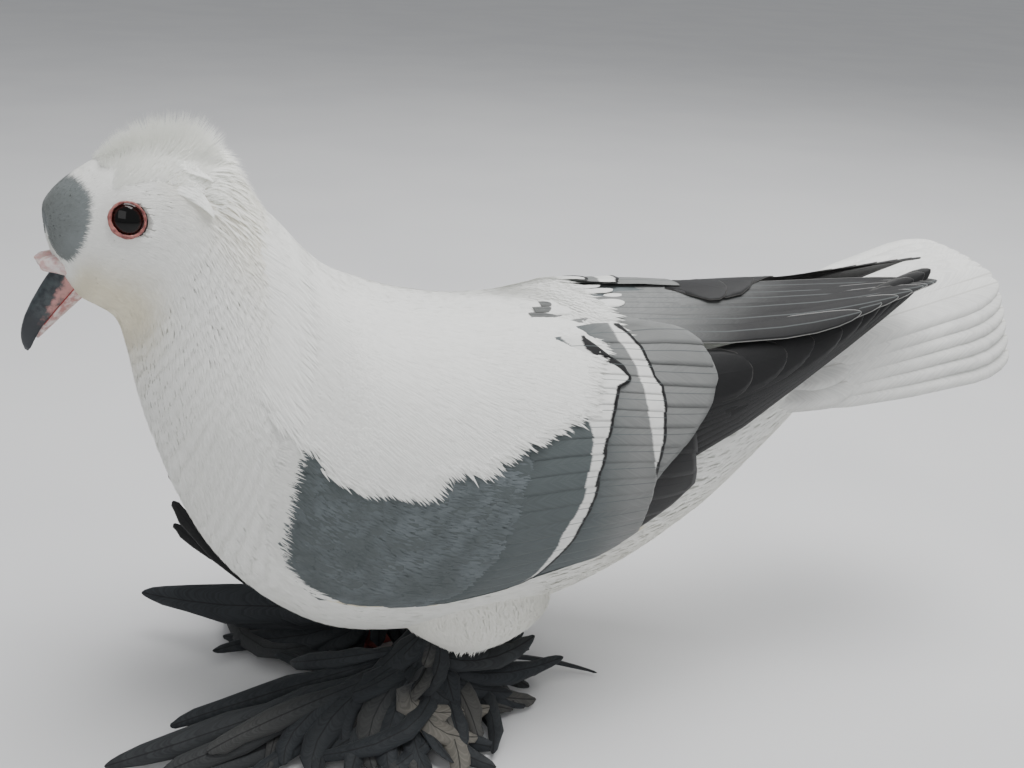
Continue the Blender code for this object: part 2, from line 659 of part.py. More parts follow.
def cere(finish):
    """The two swollen lobes over the root of the bill, with a slit of a nostril under each."""
    along, across, length = bill_axes()
    lobes = []
    for side in (LEFT, RIGHT):
        place = np.array(BILL_GAPE) + along * length * 0.22 + across * 6.2
        lobes.append(ball("lobe", (place[0], -2.2, place[1]), 3.2, finish, side, stretch=(1.45, 1.0, 1.0)))
    made = boolean(lobes[0], [lobes[1]], "UNION")
    made.name = "cere"
    cutters = [body_cutter(HEAD_FROM - 1.0, HEAD_TO, 24, finish)]
    rows = [(-0.1, 7.6, 1.0, -3.0), (0.2, 7.2, 0.98, -3.0), (0.4, 6.3, 0.86, -3.0), (0.58, 5.4, 0.7, -3.0), (0.74, 4.7, 0.52, -3.0)]
    swollen = [bill_ring(s, h + GAP + 3.2, BILL_HALF_WIDTH * w + 1.0, b) for s, h, w, b in rows]
    cutters.append(tube("bill_cutter", swollen, finish))
    for side in (LEFT, RIGHT):
        place = np.array(BILL_GAPE) + along * length * 0.4 + across * 5.2
        cutters.append(ball("nostril", (place[0], -4.4, place[1]), 1.0, finish, side, segments=8, stretch=(0.6, 1.2, 1.4)))
    for cutter in cutters:
        boolean(made, [cutter], "DIFFERENCE")
    return smooth(made)


def shield_base(name, finish, side):
    """The smooth form under the tiers, thickest in its middle and at its rear end, where they leave it."""
    rows = np.array(SHIELD_OUTLINE)
    inner, outer = [], []
    for x, high, low in rows:
        s = np.linspace(high, low, 7)
        v = np.linspace(-1.0, 1.0, 7)
        edge = (v**4) * (1.0 - rise(x, 10.0, FOLD_X))
        swell = SHIELD_SWELL * (1.0 - edge) * np.clip((x - rows[0, 0]) / 20.0, 0.0, 1.0)
        inner.append(wing_point(side, x, s, SHIELD_IN))
        outer.append(wing_point(side, x, s, SHIELD_IN + SHIELD_EDGE + swell))
    return plate(name, np.array(inner), np.array(outer), finish, side)


def tier(tips, layer, run, lift, half_width, finish, side, root_base=TIER_ROOT):
    """A row of vanes on the shield, in a layer from 0, that run back to the given tips from roots in the shield."""
    vanes = []
    for i, (x, s) in enumerate(tips):
        share = i / (len(tips) - 1.0)
        root = (x - run, s + lift * (0.25 + share))
        control = (x - run * 0.45, s + lift * 0.3 * (0.25 + share))
        base = REAR_IN + TIER_PITCH * layer + TIER_STEP * (i % 2) + RIGHT_TIER_LIFT * (side == RIGHT)
        vanes.append(chart_vane("tier", root, control, (x, s), half_width, (root_base, base), TIER_THICK, finish,
                                side, TIER_WIDTHS))
    return vanes


def wing(side, finish):
    """The folded wing: its shield with scapulars, coverts and the arm's flight feathers in tiers."""
    made = shield_base("wing_left" if side == LEFT else "wing_right", finish, side)
    vanes = tier(SECONDARY_TIPS, 0, 46.0, 7.0, 7.4, finish, side)
    vanes += tier(GREATER_TIPS, 1, 34.0, 6.0, 8.6, finish, side)
    vanes += tier(MEDIAN_TIPS, 2, 28.0, 4.0, 10.4, finish, side)
    vanes += tier(SCAPULAR_TIPS, 3, 30.0, -5.0, 11.0, finish, side, SHIELD_IN + 0.6)
    return smooth(boolean(made, vanes, "UNION"))


def primaries(side, finish):
    """The hand's flight feathers, the longest lowest, each a little further out than the next."""
    name = "primaries_left" if side == LEFT else "primaries_right"
    first, last = np.array(PRIMARY_ROOTS)
    vanes = []
    for i, tip in enumerate(PRIMARY_TIPS):
        share = i / (PRIMARY_COUNT - 1.0)
        root = first + (last - first) * share
        span = np.array(tip) - root
        control = root + span * 0.5 + np.array((-2.0, -11.0)) * share
        base = PRIMARY_IN + PRIMARY_PITCH * (PRIMARY_COUNT - 1 - i)
        vanes.append(chart_vane(name if i == 0 else "primary", root, control, tip, PRIMARY_HALF_WIDTH - 0.8 * share,
                                (base, base), PRIMARY_THICK, finish, side))
    return smooth(boolean(vanes[0], vanes[1:], "UNION"))


def tail_frame():
    """Along the tail, up from it and across it to the right, with its left edge rolled down."""
    rise_angle, roll = math.radians(TAIL_RISE_DEG), math.radians(TAIL_ROLL_DEG)
    along = np.array([math.cos(rise_angle), 0.0, math.sin(rise_angle)])
    level = np.array([0.0, 1.0, 0.0])
    up = np.array([-math.sin(rise_angle), 0.0, math.cos(rise_angle)])
    return along, up * math.cos(roll) - level * math.sin(roll), level * math.cos(roll) + up * math.sin(roll)


def tail_feather(place, length, lift, finish, half_width=TAIL_HALF_WIDTH):
    """A tail feather at a place from -1, the left edge, to 1. The outer feathers lie lower."""
    along, up, across = tail_frame()
    near, middle, far = TAIL_RUN_OUT
    start = np.array(TAIL_ROOT) + up * (lift - 1.5 * place * place)
    tip = start + along * length + across * far * place - up * (2.0 + 5.0 * place * place)
    control = start + along * length * 0.42 + across * middle * place + up * 1.0
    line = bend(start + across * near * place, control, tip, shares_of(VANE_WIDTHS))
    side_way = across - up * 0.2 * place
    return blade("tail_feather", line, np.tile(side_way, (len(line), 1)), half_width, TAIL_THICK, finish, pose=False)


def tail(finish):
    """The tail feathers in two halves that lap from the middle outwards, and the rump that they grow from."""
    made = tube("tail", skin_rings(0.0, TORSO_FROM, 6, 26), finish)
    feathers = []
    for i in range(TAIL_FEATHERS // 2):
        share = (i + 0.5) / (TAIL_FEATHERS / 2.0 - 0.5) if i else 0.09
        for way in (-1, 1):
            lift = -TAIL_PITCH * i - (0.2 if way > 0 else 0.0)
            feathers.append(tail_feather(way * min(share, 1.0), TAIL_LENGTH - 1.5 * i, lift, finish))
    for place in (-0.4, 0.4):
        feathers.append(tail_feather(place, 52.0, 1.0, finish, 9.5))
        feathers.append(tail_feather(place, 66.0, -5.0, finish, 9.5))
    return smooth(boolean(made, feathers, "UNION"))


def foot_centre(side):
    return np.array([FOOT_X[side], -FOOT_Y, 0.0])


def leg(side, finish):
    """The feathered shank, a soft tuft under the belly with its own short vanes."""
    name = "leg_left" if side == LEFT else "leg_right"
    x, y = FOOT_X[side] + 9.0, -FOOT_Y - 3.0
    rows = [(ANKLE_Z + GAP, 9.0, 7.0, -4.0), (28.0, 13.0, 10.0, -3.0), (33.0, 18.0, 13.0, 0.0), (42.0, 22.0, 14.0, 4.0),
            (54.0, 22.0, 12.0, 8.0)]
    sides = 16
    turns = np.linspace(0.0, 2.0 * math.pi, sides, endpoint=False)
    rings = [np.stack([x + dx + rx * np.cos(turns), y + ry * np.sin(turns), np.full(sides, z)], -1)
             for z, rx, ry, dx in rows]
    made = tube(name, rings, finish, side=side, pose=False)
    vanes = []
    for i in range(9):
        turn = 2.0 * math.pi * (i + 0.3) / 9.0
        out = np.array([math.cos(turn), math.sin(turn) * 0.72, 0.0])
        middle = np.array([x + 1.0, y, 0.0])
        root = middle + out * 10.0 + (0, 0, 35.0)
        tip = middle + out * (15.0 + 3.0 * (i % 2)) + (0, 0, ANKLE_Z + 1.2 + 2.0 * (i % 3))
        line = bend(root, middle + out * 17.0 + (0, 0, 32.0), tip, shares_of(SHORT_WIDTHS))
        across = np.tile(np.cross(out, (0, 0, 1.0)), (len(line), 1))
        vanes.append(blade("tuft", line, across, 5.0, 1.0, finish, side, SHORT_WIDTHS, pose=False))
    boolean(made, vanes, "UNION")
    clear = body_cutter(TORSO_FROM - 0.5, NECK_FROM, 24, finish)
    return smooth(boolean(made, [clear], "DIFFERENCE"))


def toe(side, bearing, length, radius, finish):
    """A toe with a flat sole, from the middle of the foot outwards."""
    turn = math.radians(bearing)
    out = np.array([-math.cos(turn), -math.sin(turn), 0.0])
    across = np.array([-out[1], out[0], 0.0])
    rings = []
    for share, swell in ((-0.1, 0.9), (0.25, 1.0), (0.5, 0.92), (0.75, 0.95), (0.92, 0.8), (1.0, 0.5)):
        middle = foot_centre(side) + out * length * share
        ring = []
        for a in np.linspace(0.0, 2.0 * math.pi, 8, endpoint=False) + math.pi / 8.0:
            height = radius * (0.62 + swell * math.sin(a))
            ring.append(middle + across * radius * swell * math.cos(a) + (0, 0, max(height, 0.0)))
        rings.append(ring)
    return tube("toe", rings, finish, side=side, pose=False)


def claw(side, number, bearing, length, radius, finish):
    """A small curved claw that clears the floor."""
    name = f"claw_{'left' if side == LEFT else 'right'}_{number}"
    turn = math.radians(bearing)
    out = np.array([-math.cos(turn), -math.sin(turn), 0.0])
    across = np.array([-out[1], out[0], 0.0])
    rings = []
    for share, size in ((0.0, 1.0), (0.35, 0.86), (0.7, 0.55)):
        middle = foot_centre(side) + out * (length + GAP + 7.0 * share) + (0, 0, 2.4 + 0.5 * share - 1.6 * share**2)
        rings.append([middle + (across * math.cos(a) + np.array([0, 0, 1.0]) * math.sin(a)) * 1.15 * size
                      for a in np.linspace(0.0, 2.0 * math.pi, 8, endpoint=False)])
    tip = foot_centre(side) + out * (length + GAP + 7.5) + (0, 0, 0.9)
    return smooth(tube(name, rings, finish, tip=tip, side=side, pose=False))


def muff_feather(side, bearing, length, root_z, tip_z, half_width, finish, draw):
    """A long foot feather that leaves the shank, arches a little and comes down to the floor."""
    turn = math.radians(bearing)
    out = np.array([-math.cos(turn), -math.sin(turn), 0.0])
    across = np.array([-out[1], out[0], 0.0])
    sweep = draw.uniform(-0.06, 0.06) + 0.1 * math.sin(turn)
    root = foot_centre(side) + out * 2.0 + (0, 0, root_z)
    tip = foot_centre(side) + out * length + across * sweep * length + (0, 0, tip_z)
    control = root + out * length * 0.5 + (0, 0, draw.uniform(1.0, 3.5))
    line = bend(root, control, tip, shares_of(VANE_WIDTHS))
    tilt = draw.uniform(-0.16, 0.16)
    flat = across * math.cos(tilt) + np.array([0, 0, 1.0]) * math.sin(tilt)
    lowest = line[:, 2] - np.abs(math.sin(tilt)) * half_width - MUFF_THICK / 2.0
    line[:, 2] += np.maximum(FLOOR_CLEARANCE - lowest, 0.0)
    return blade("muff", line, np.tile(flat, (len(line), 1)), half_width, MUFF_THICK, finish, side, pose=False)


def foot(side, finish):
    """The foot: toes with flat soles and a shank that carries the muff."""
    name = "foot_left" if side == LEFT else "foot_right"
    draw = np.random.default_rng(7 if side == LEFT else 8)
    turns = np.linspace(0.0, 2.0 * math.pi, 12, endpoint=False)
    centre = foot_centre(side)
    rings = [np.stack([centre[0] + dx + r * np.cos(turns), centre[1] + r * np.sin(turns), np.full(12, z)], -1)
             for z, r, dx in ((0.0, 5.0, 0.0), (5.0, 6.5, 0.0), (12.0, 7.0, 1.0), (ANKLE_Z, 7.5, 3.0))]
    made = tube(name, rings, finish, side=side, pose=False)
    grown = [toe(side, *row, finish) for row in TOES]
    for bearing, length, root_z, tip_z in MUFF[side]:
        half_width = MUFF_HALF_WIDTH * (0.8 + 0.25 * length / 100.0)
        grown.append(muff_feather(side, bearing, length, root_z, tip_z, half_width, finish, draw))
    for bearing, length in UPPER_MUFF:
        grown.append(muff_feather(side, bearing, length, 19.0, 9.0, MUFF_HALF_WIDTH * 0.85, finish, draw))
    if side == RIGHT:
        line = spline([(x, -y, z) for x, y, z in STANDING_QUILL], shares_of(VANE_WIDTHS))
        across = np.tile((0.2, 1.0, 0.1), (len(line), 1))
        grown.append(blade("quill", line, across, MUFF_HALF_WIDTH, MUFF_THICK, finish, side, pose=False))
    boolean(made, grown, "UNION")
    clear = body_cutter(TORSO_FROM - 0.5, NECK_FROM, 24, finish)
    return smooth(boolean(made, [clear], "DIFFERENCE"))


def settle():
    """Moves the whole bird so that its origin is under the middle of its box, on the floor."""
    meshes = [o.data for o in bpy.data.objects if o.type == "MESH"]
    points = np.array([v.co for mesh in meshes for v in mesh.vertices])
    low, high = points.min(0), points.max(0)
    shift = -np.array([(low[0] + high[0]) / 2.0, (low[1] + high[1]) / 2.0, low[2]])
    for mesh in meshes:
        for vertex in mesh.vertices:
            vertex.co = [c + d for c, d in zip(vertex.co, shift)]
    return shift


def main():
    for old in list(bpy.data.objects):
        bpy.data.objects.remove(old)
    white = material("white_plumage", (0.82, 0.81, 0.78), 0.8)
    grey = material("grey_plumage", (0.2, 0.23, 0.25), 0.8)
    dark = material("dark_plumage", (0.04, 0.04, 0.045), 0.7)
    horn = material("bill_horn", (0.05, 0.06, 0.07), 0.4)
    flesh = material("bill_flesh", (0.5, 0.28, 0.24), 0.5)
    glassy = material("eye", (0.03, 0.008, 0.006), 0.1)
    torso(white)
    neck(white)
    head(white)
    bill_upper(horn)
    bill_lower(flesh)
    cere(flesh)
    tail(white)
    for side in (LEFT, RIGHT):
        eye(side, glassy)
        wing(side, grey)
        primaries(side, dark)
        leg(side, white)
        foot(side, grey)
        for number, (bearing, length, radius) in enumerate(TOES, 1):
            claw(side, number, bearing, length, radius, horn)
    settle()


main()
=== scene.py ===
"""Looks of a muffed, shell-crested wing pigeon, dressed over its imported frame.

The bird is drawn in millimetres as it would stand square: it looks along -X, its left side is -Y, +Z is up and
the floor is at zero. settle() then turns the head, rolls the rear body and puts each point at its place in the
row's frame, in metres. Feathers on the body hang on its cross-sections, counted from the tail by t and round from
the middle of the back by the angle a. Those of the wings hang on a bed charted by x and by s, the way down from
the middle of the back.
"""

import math

import bmesh
import bpy
import numpy as np
from mathutils import Matrix, Vector
from mathutils.kdtree import KDTree


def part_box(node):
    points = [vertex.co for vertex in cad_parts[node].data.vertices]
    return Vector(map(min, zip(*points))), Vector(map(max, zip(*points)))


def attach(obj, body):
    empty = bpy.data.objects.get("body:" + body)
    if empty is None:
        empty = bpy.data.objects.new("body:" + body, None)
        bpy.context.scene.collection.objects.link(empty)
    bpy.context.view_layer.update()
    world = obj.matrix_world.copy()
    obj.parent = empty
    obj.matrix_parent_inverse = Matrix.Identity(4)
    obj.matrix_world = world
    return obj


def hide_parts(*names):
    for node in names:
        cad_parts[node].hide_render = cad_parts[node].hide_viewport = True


bl_info = {
    "name": "Muffed Wing Pigeon",
    "version": (1, 0, 0),
    "blender": (4, 5, 0),
    "location": "View3D > Sidebar > Pigeon",
    "description": "Skin, feathers, eyes, bill and stage of a still, life-size pigeon",
    "category": "Object",
}

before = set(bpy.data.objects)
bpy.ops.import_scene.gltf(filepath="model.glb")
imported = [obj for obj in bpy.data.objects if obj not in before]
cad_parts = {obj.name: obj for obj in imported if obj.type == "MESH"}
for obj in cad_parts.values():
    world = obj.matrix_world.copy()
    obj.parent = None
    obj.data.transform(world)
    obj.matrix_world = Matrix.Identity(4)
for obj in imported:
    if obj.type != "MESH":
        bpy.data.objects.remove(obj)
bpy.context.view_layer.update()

MM = 0.001
UP = np.array([0.0, 0.0, 1.0])
LEFT, RIGHT = -1, 1
SIDES = ((LEFT, "left"), (RIGHT, "right"))

# Pose: the rear body rolls to the left, and the neck turns the head to the left.
LEAN_DEG = 20.0
LEAN_START_X, LEAN_END_X = 20.0, 150.0
LEAN_AXIS_X, LEAN_AXIS_Z, LEAN_AXIS_RISE = 95.0, 98.0, 0.4
HEAD_TURN_DEG = 14.0
HEAD_AXIS_X = -72.0
HEAD_TURN_Z = (108.0, 158.0)
HEAD_TURN_X = (-52.0, -24.0)
FACE_STRETCH, FACE_LIFT = 0.05, 0.09

# Cross-sections from tail to brow: lowest point x, z, highest point x, z, and half the width.
BODY_SECTIONS = [
    ("tail base", 136.0, 90.0, 132.0, 118.0, 12.0),
    ("rump", 114.0, 71.0, 111.0, 125.0, 22.0),
    ("vent", 92.0, 56.0, 91.0, 129.0, 31.0),
    ("flank", 68.0, 43.0, 68.0, 131.5, 38.5),
    ("hip", 42.0, 34.0, 43.0, 132.5, 44.0),
    ("loin", 16.0, 29.0, 17.0, 134.2, 47.5),
    ("keel", -10.0, 27.5, -8.0, 137.6, 49.0),
    ("crop", -35.0, 31.0, -22.0, 142.4, 48.0),
    ("breast", -56.0, 44.0, -32.0, 147.2, 44.5),
    ("chest", -70.0, 60.0, -40.0, 154.4, 39.5),
    ("neck base", -79.0, 78.0, -46.5, 162.5, 34.5),
    ("neck", -85.5, 97.0, -52.0, 169.0, 29.5),
    ("upper neck", -89.5, 113.0, -57.0, 175.5, 25.5),
    ("throat", -91.5, 127.0, -61.5, 181.0, 22.0),
    ("nape", -93.5, 136.5, -67.0, 186.0, 19.5),
    ("jaw", -98.0, 140.5, -76.0, 188.4, 17.5),
    ("cheek", -103.0, 143.5, -86.5, 187.4, 16.0),
    ("temple", -105.8, 147.0, -96.0, 183.4, 13.2),
    ("brow", -108.0, 152.0, -104.5, 177.6, 10.2),
    ("forehead", -109.6, 157.0, -109.4, 172.4, 6.6),
    ("front", -110.6, 161.5, -110.9, 169.0, 3.0),
]
SECTION = {row[0]: i for i, row in enumerate(BODY_SECTIONS)}
WING_BED_SECTIONS = [
    (184.0, 133.0, 184.0, 150.0, 7.0),
    (160.0, 106.0, 160.0, 147.0, 14.0),
    (132.0, 78.0, 132.0, 142.5, 23.5),
    (106.0, 58.0, 106.0, 138.5, 32.0),
    (82.0, 46.0, 82.0, 136.0, 38.5),
    (60.0, 38.0, 60.0, 135.0, 42.5),
    (38.0, 33.0, 38.0, 135.0, 45.5),
    (16.0, 29.0, 17.0, 135.2, 48.0),
    (-10.0, 27.5, -8.0, 138.8, 49.5),
    (-35.0, 31.0, -22.0, 143.6, 48.5),
    (-56.0, 44.0, -32.0, 148.2, 45.0),
    (-70.0, 60.0, -40.0, 155.4, 40.0),
    (-79.0, 78.0, -46.5, 163.3, 35.0),
    (-85.5, 97.0, -52.0, 169.8, 30.0),
    (-89.5, 113.0, -57.0, 176.3, 26.0),
]
FULLNESS = 2.15
SKIN_DEPTH = 1.3

# Head.
EYE_X, EYE_Z, EYE_R = -92.0, 169.8, 4.9
EYE_PROUD = 1.6
BILL_GAPE = (-101.5, 154.8)
BILL_TIP = (-120.3, 128.3)
BILL_HALF_WIDTH = 4.5
SNIP_ANGLES = (0.0, 0.6, 1.0, 1.4, 1.8, 2.2, 2.4, 2.6)
SNIP_FROM = (18.0, 17.7, 17.45, 17.4, 17.6, 18.05, 18.7, 21.0)

# Wing chart: x, then the way down s.
PAD_LOW_X = (-53.0, -51.0, -48.0, -44.5, -39.0, -31.0, -7.0, 24.0, 48.5, 63.0, 73.0, 83.5, 92.0)
PAD_LOW_S = (101.0, 108.0, 111.0, 112.5, 114.5, 115.5, 113.5, 101.5, 94.0, 85.0, 77.0, 66.0, 40.0)
FRONT_S = (56.0, 66.0, 81.0, 95.0, 103.0, 109.0, 114.0)
FRONT_X = (-43.0, -46.0, -49.5, -51.5, -52.0, -50.5, -43.0)
WHITE_X = (-60.0, -45.0, -39.5, -34.5, -27.0, -16.5, -11.0, -6.5, 6.0, 11.0, 20.0, 30.5, 36.0, 38.0, 41.0, 46.0, 56.0)
WHITE_S = (60.0, 65.5, 69.5, 72.0, 73.0, 72.5, 68.5, 65.5, 63.0, 59.5, 55.5, 52.5, 49.5, 44.0, 36.0, 27.0, 22.0)
PAD_HEIGHT = 6.0
NEAR_TOP_RAISED = 3.2
# Rear edges of the wing's tiers: s, then x. Bands: s, then their width. Edged: s, then the black line's strength.
SECONDARY_EDGE = [
    (14.0, 64.0), (15.0, 71.0), (16.0, 79.0), (20.0, 84.5), (24.5, 87.5), (30.5, 89.0), (39.0, 86.0), (45.5, 81.0),
    (52.0, 75.5), (60.5, 67.5), (68.0, 62.0), (76.0, 58.0),
]
GREATER_EDGE = [
    (18.0, 59.0), (21.0, 61.5), (24.5, 64.0), (29.0, 65.5), (33.0, 66.5), (35.5, 68.5), (44.5, 68.5), (52.0, 67.5),
    (58.5, 66.0), (66.0, 64.5), (75.0, 63.5), (83.0, 62.0), (90.0, 54.0), (95.0, 46.0), (100.0, 34.0), (105.0, 20.0),
]
GREATER_BAND = [(18.0, 4.0), (23.0, 6.3), (31.5, 5.5), (35.5, 7.0), (40.5, 7.0), (51.5, 4.6), (59.5, 1.2), (63.0, 0.0)]
GREATER_EDGED = [(18.0, 2.0), (20.0, 1.0), (60.0, 1.0), (63.0, 0.0)]
MEDIAN_EDGE = [
    (24.0, 46.0), (27.0, 50.0), (29.0, 53.0), (31.0, 56.5), (34.5, 58.0), (36.0, 57.0), (38.0, 53.5), (39.5, 53.0),
    (46.5, 49.8), (61.0, 45.0), (72.5, 41.5), (84.0, 36.5), (98.5, 26.5), (107.0, 17.0),
]
MEDIAN_BAND = [
    (24.0, 8.0), (29.0, 9.0), (33.0, 12.0), (41.0, 12.5), (46.0, 9.5), (53.5, 5.0), (69.0, 4.3), (81.0, 6.0),
    (92.5, 3.0), (104.0, 1.0),
]
MEDIAN_EDGED = [(24.0, 1.2), (27.0, 2.6), (31.0, 2.2), (34.0, 1.0), (104.0, 0.9)]
HAND_COVERT_EDGE = [(38.0, 77.0), (50.5, 80.0), (60.0, 82.5), (66.5, 83.0), (71.0, 79.0), (76.0, 73.0), (83.5, 63.0)]
RIGHT_WING_UP, RIGHT_WING_LOW_S, RIGHT_WING_LIFT = 42.0, 90.0, 2.2
RIGHT_WING_X = (25.0, 62.0, 92.0, 132.0)
PRIMARY_COUNT = 10
PRIMARY_ROOTS = ((57.0, 36.0), (55.0, 70.0))
PRIMARY_TIPS = [
    (102.0, 27.0), (115.5, 22.5), (126.5, 19.5), (138.0, 17.5), (147.0, 13.5),
    (155.0, 10.5), (162.0, 8.0), (169.0, 6.0), (174.0, 4.6), (177.0, 3.6),
]

# Tail.
TAIL_ROOT = (104.0, 0.0, 109.0)
TAIL_RISE_DEG, TAIL_ROLL_DEG = 16.5, 38.0
TAIL_LENGTH, TAIL_FEATHERS = 112.0, 12
TAIL_RUN_OUT = (7.0, 24.0, 25.0)

# How many strands each part of a wing, a thigh, an ear and the vent has.
SHIELD_STRANDS, MANTLE_STRANDS, EDGE_STRANDS, FRINGE_STRANDS = 11000, 18000, 1100, 1500
THIGH_STRANDS, EAR_STRANDS, VENT_STRANDS = 5200, 520, 2600
EYE_CLEAR = 5.7

# Marks of strands, grey, cream and dark, and the share of a strand's length that one of even colour, without painted
# shade at its root, starts from.
ALL_GREY, MOSTLY_CREAM, MIDWAY = (1.0, 0.0, 0.0), (0.0, 0.9, 0.0), 0.4

# Feet.
FOOT_X = {LEFT: 0.0, RIGHT: -14.0}
FOOT_Y = 21.0
TOES = [(0.0, 27.0, 3.1), (38.0, 21.0, 2.7), (-38.0, 20.0, 2.7), (180.0, 15.0, 2.7)]


def pad_low(x):
    """The way down to the folded wing's lower edge."""
    return np.interp(x, PAD_LOW_X, PAD_LOW_S)


def pad_front(s):
    """The shield's front edge."""
    return np.interp(s, FRONT_S, FRONT_X)


def white_low(x):
    """The way down to where the white of the mantle ends."""
    return np.interp(x, WHITE_X, WHITE_S)


def along_edge(edge, s):
    """The second value of an edge's or a band's rows at s."""
    return np.interp(s, *np.array(edge).T)


def rise(value, start, end):
    """0 before start, 1 after end, and a smooth rise between them."""
    share = np.clip((np.asarray(value, float) - start) / (end - start), 0.0, 1.0)
    return share * share * (3.0 - 2.0 * share)


def unit(vectors):
    vectors = np.asarray(vectors, float)
    return vectors / np.maximum(np.linalg.norm(vectors, axis=-1, keepdims=True), 1e-9)


def posed(points):
    """The points with the turn of the head and the roll of the rear body put in."""
    p = np.array(points, float).reshape(-1, 3)
    weight = rise(p[:, 2], *HEAD_TURN_Z) * (1.0 - rise(p[:, 0], *HEAD_TURN_X))
    ahead = HEAD_AXIS_X - p[:, 0]
    ahead_drawn = ahead * (1.0 + weight * FACE_STRETCH)
    p[:, 2] += weight * FACE_LIFT * np.maximum(ahead, 0.0)
    turn = math.radians(HEAD_TURN_DEG) * weight
    y = p[:, 1].copy()
    p[:, 0] = HEAD_AXIS_X - ahead_drawn * np.cos(turn) - y * np.sin(turn)
    p[:, 1] = y * np.cos(turn) - ahead_drawn * np.sin(turn)
    roll = math.radians(LEAN_DEG) * rise(p[:, 0], LEAN_START_X, LEAN_END_X)
    axis = LEAN_AXIS_Z + LEAN_AXIS_RISE * np.maximum(p[:, 0] - LEAN_AXIS_X, 0.0)
    y, z = p[:, 1].copy(), p[:, 2] - axis
    p[:, 1] = y * np.cos(roll) - z * np.sin(roll)
    p[:, 2] = y * np.sin(roll) + z * np.cos(roll) + axis
    return p


def power(value, exponent):
    """A power that keeps the sign."""
    return np.sign(value) * np.abs(value) ** exponent


class Loft:
    """A smooth skin through cross-sections. t counts sections and a is the angle from the top, left side first."""

    def __init__(self, rows):
        self.rows = np.array([row[-5:] for row in rows], float)

    def section(self, t):
        t = np.clip(np.asarray(t, float), 0.0, len(self.rows) - 1.0)
        i = np.minimum(t.astype(int), len(self.rows) - 2)
        f = (t - i)[..., None]
        last = len(self.rows) - 1
        p0, p1 = self.rows[np.maximum(i - 1, 0)], self.rows[i]
        p2, p3 = self.rows[i + 1], self.rows[np.minimum(i + 2, last)]
        return 0.5 * (
            2 * p1
            + (p2 - p0) * f
            + (2 * p0 - 5 * p1 + 4 * p2 - p3) * f**2
            + (3 * p1 - p0 - 3 * p2 + p3) * f**3
        )

    def surface(self, t, a):
        s = self.section(t)
        up = power(np.cos(a), 2.0 / FULLNESS)
        out = power(np.sin(a), 2.0 / FULLNESS)
        x = 0.5 * (s[..., 0] + s[..., 2]) + 0.5 * (s[..., 2] - s[..., 0]) * up
        z = 0.5 * (s[..., 1] + s[..., 3]) + 0.5 * (s[..., 3] - s[..., 1]) * up
        return np.stack([x, -s[..., 4] * out, z], -1)

    def point(self, t, a, out=0.0):
        """A point that stands out from the skin, and the skin's normal there."""
        t, a, out = np.broadcast_arrays(np.asarray(t, float), np.asarray(a, float), np.asarray(out, float))
        step = 0.02
        along = self.surface(t + step, a) - self.surface(t - step, a)
        round_ = self.surface(t, a + step) - self.surface(t, a - step)
        normal = unit(np.cross(along, round_))
        return self.surface(t, a) + normal * out[..., None], normal

    def find(self, x, z):
        """t and a of the place on the left side that is seen at x, z from the side."""
        middle = 0.5 * (self.rows[:, 0] + self.rows[:, 2])
        t = np.interp(-x, -middle, np.arange(len(middle), dtype=float))
        for _ in range(12):
            s, ahead = self.section(t), self.section(t + 0.02)
            up = np.clip((z - 0.5 * (s[1] + s[3])) / (0.5 * (s[3] - s[1])), -0.995, 0.995)
            here = 0.5 * (s[0] + s[2]) + 0.5 * (s[2] - s[0]) * up
            there = 0.5 * (ahead[0] + ahead[2]) + 0.5 * (ahead[2] - ahead[0]) * up
            t = np.clip(t + 0.02 * (x - here) / min(there - here, -1e-3), 0.0, len(middle) - 1.0)
        return t, math.acos(np.clip(power(up, FULLNESS / 2.0), -1.0, 1.0))

    def draw_chart(self, longest=170):
        """Tables of x and of the angle over the way down from the middle of the back and over the sections."""
        self.chart_t = np.linspace(0.0, len(self.rows) - 1.0, 80)
        angles = np.linspace(0.0, math.pi - 0.02, 160)
        grid = self.surface(self.chart_t[:, None], angles[None, :])
        steps = np.linalg.norm(np.diff(grid, axis=1), axis=-1)
        way = np.concatenate([np.zeros((len(grid), 1)), np.cumsum(steps, axis=1)], axis=1)
        down = np.arange(float(longest))
        self.chart_a = np.array([np.interp(down, row, angles) for row in way]).T
        self.chart_x = np.array([np.interp(down, row, line[:, 0]) for row, line in zip(way, grid)]).T

    def chart(self, x, s, out=0.0):
        """The point at x and s that stands out from the bed. Below zero, s runs down the other side."""
        x, s, out = np.broadcast_arrays(np.asarray(x, float), np.asarray(s, float), np.asarray(out, float))
        shape = x.shape
        x, s, out = x.ravel(), s.ravel(), out.ravel()
        low = np.clip(np.abs(s).astype(int), 0, len(self.chart_x) - 2)
        part = (np.clip(np.abs(s), 0.0, len(self.chart_x) - 1.0) - low)[:, None]
        line = self.chart_x[low] * (1 - part) + self.chart_x[low + 1] * part
        angle = self.chart_a[low] * (1 - part) + self.chart_a[low + 1] * part
        k = np.clip((line > x[:, None]).sum(1) - 1, 0, line.shape[1] - 2)
        rows = np.arange(len(x))
        share = np.clip((line[rows, k] - x) / np.maximum(line[rows, k] - line[rows, k + 1], 1e-6), 0.0, 1.0)
        t = self.chart_t[k] * (1 - share) + self.chart_t[k + 1] * share
        a = angle[rows, k] * (1 - share) + angle[rows, k + 1] * share
        place = self.point(t, a, out)[0]
        place[:, 1] *= np.where(s < 0.0, -1.0, 1.0)
        return place.reshape(shape + (3,))


BODY = Loft(BODY_SECTIONS)
WING_BED = Loft(WING_BED_SECTIONS)
WING_BED.draw_chart()


def eye_centre():
    """The middle of the left eye and the head's normal there."""
    t, a = BODY.find(EYE_X, EYE_Z)
    place, normal = BODY.point(t, a)
    return place - normal * (EYE_R - EYE_PROUD), normal


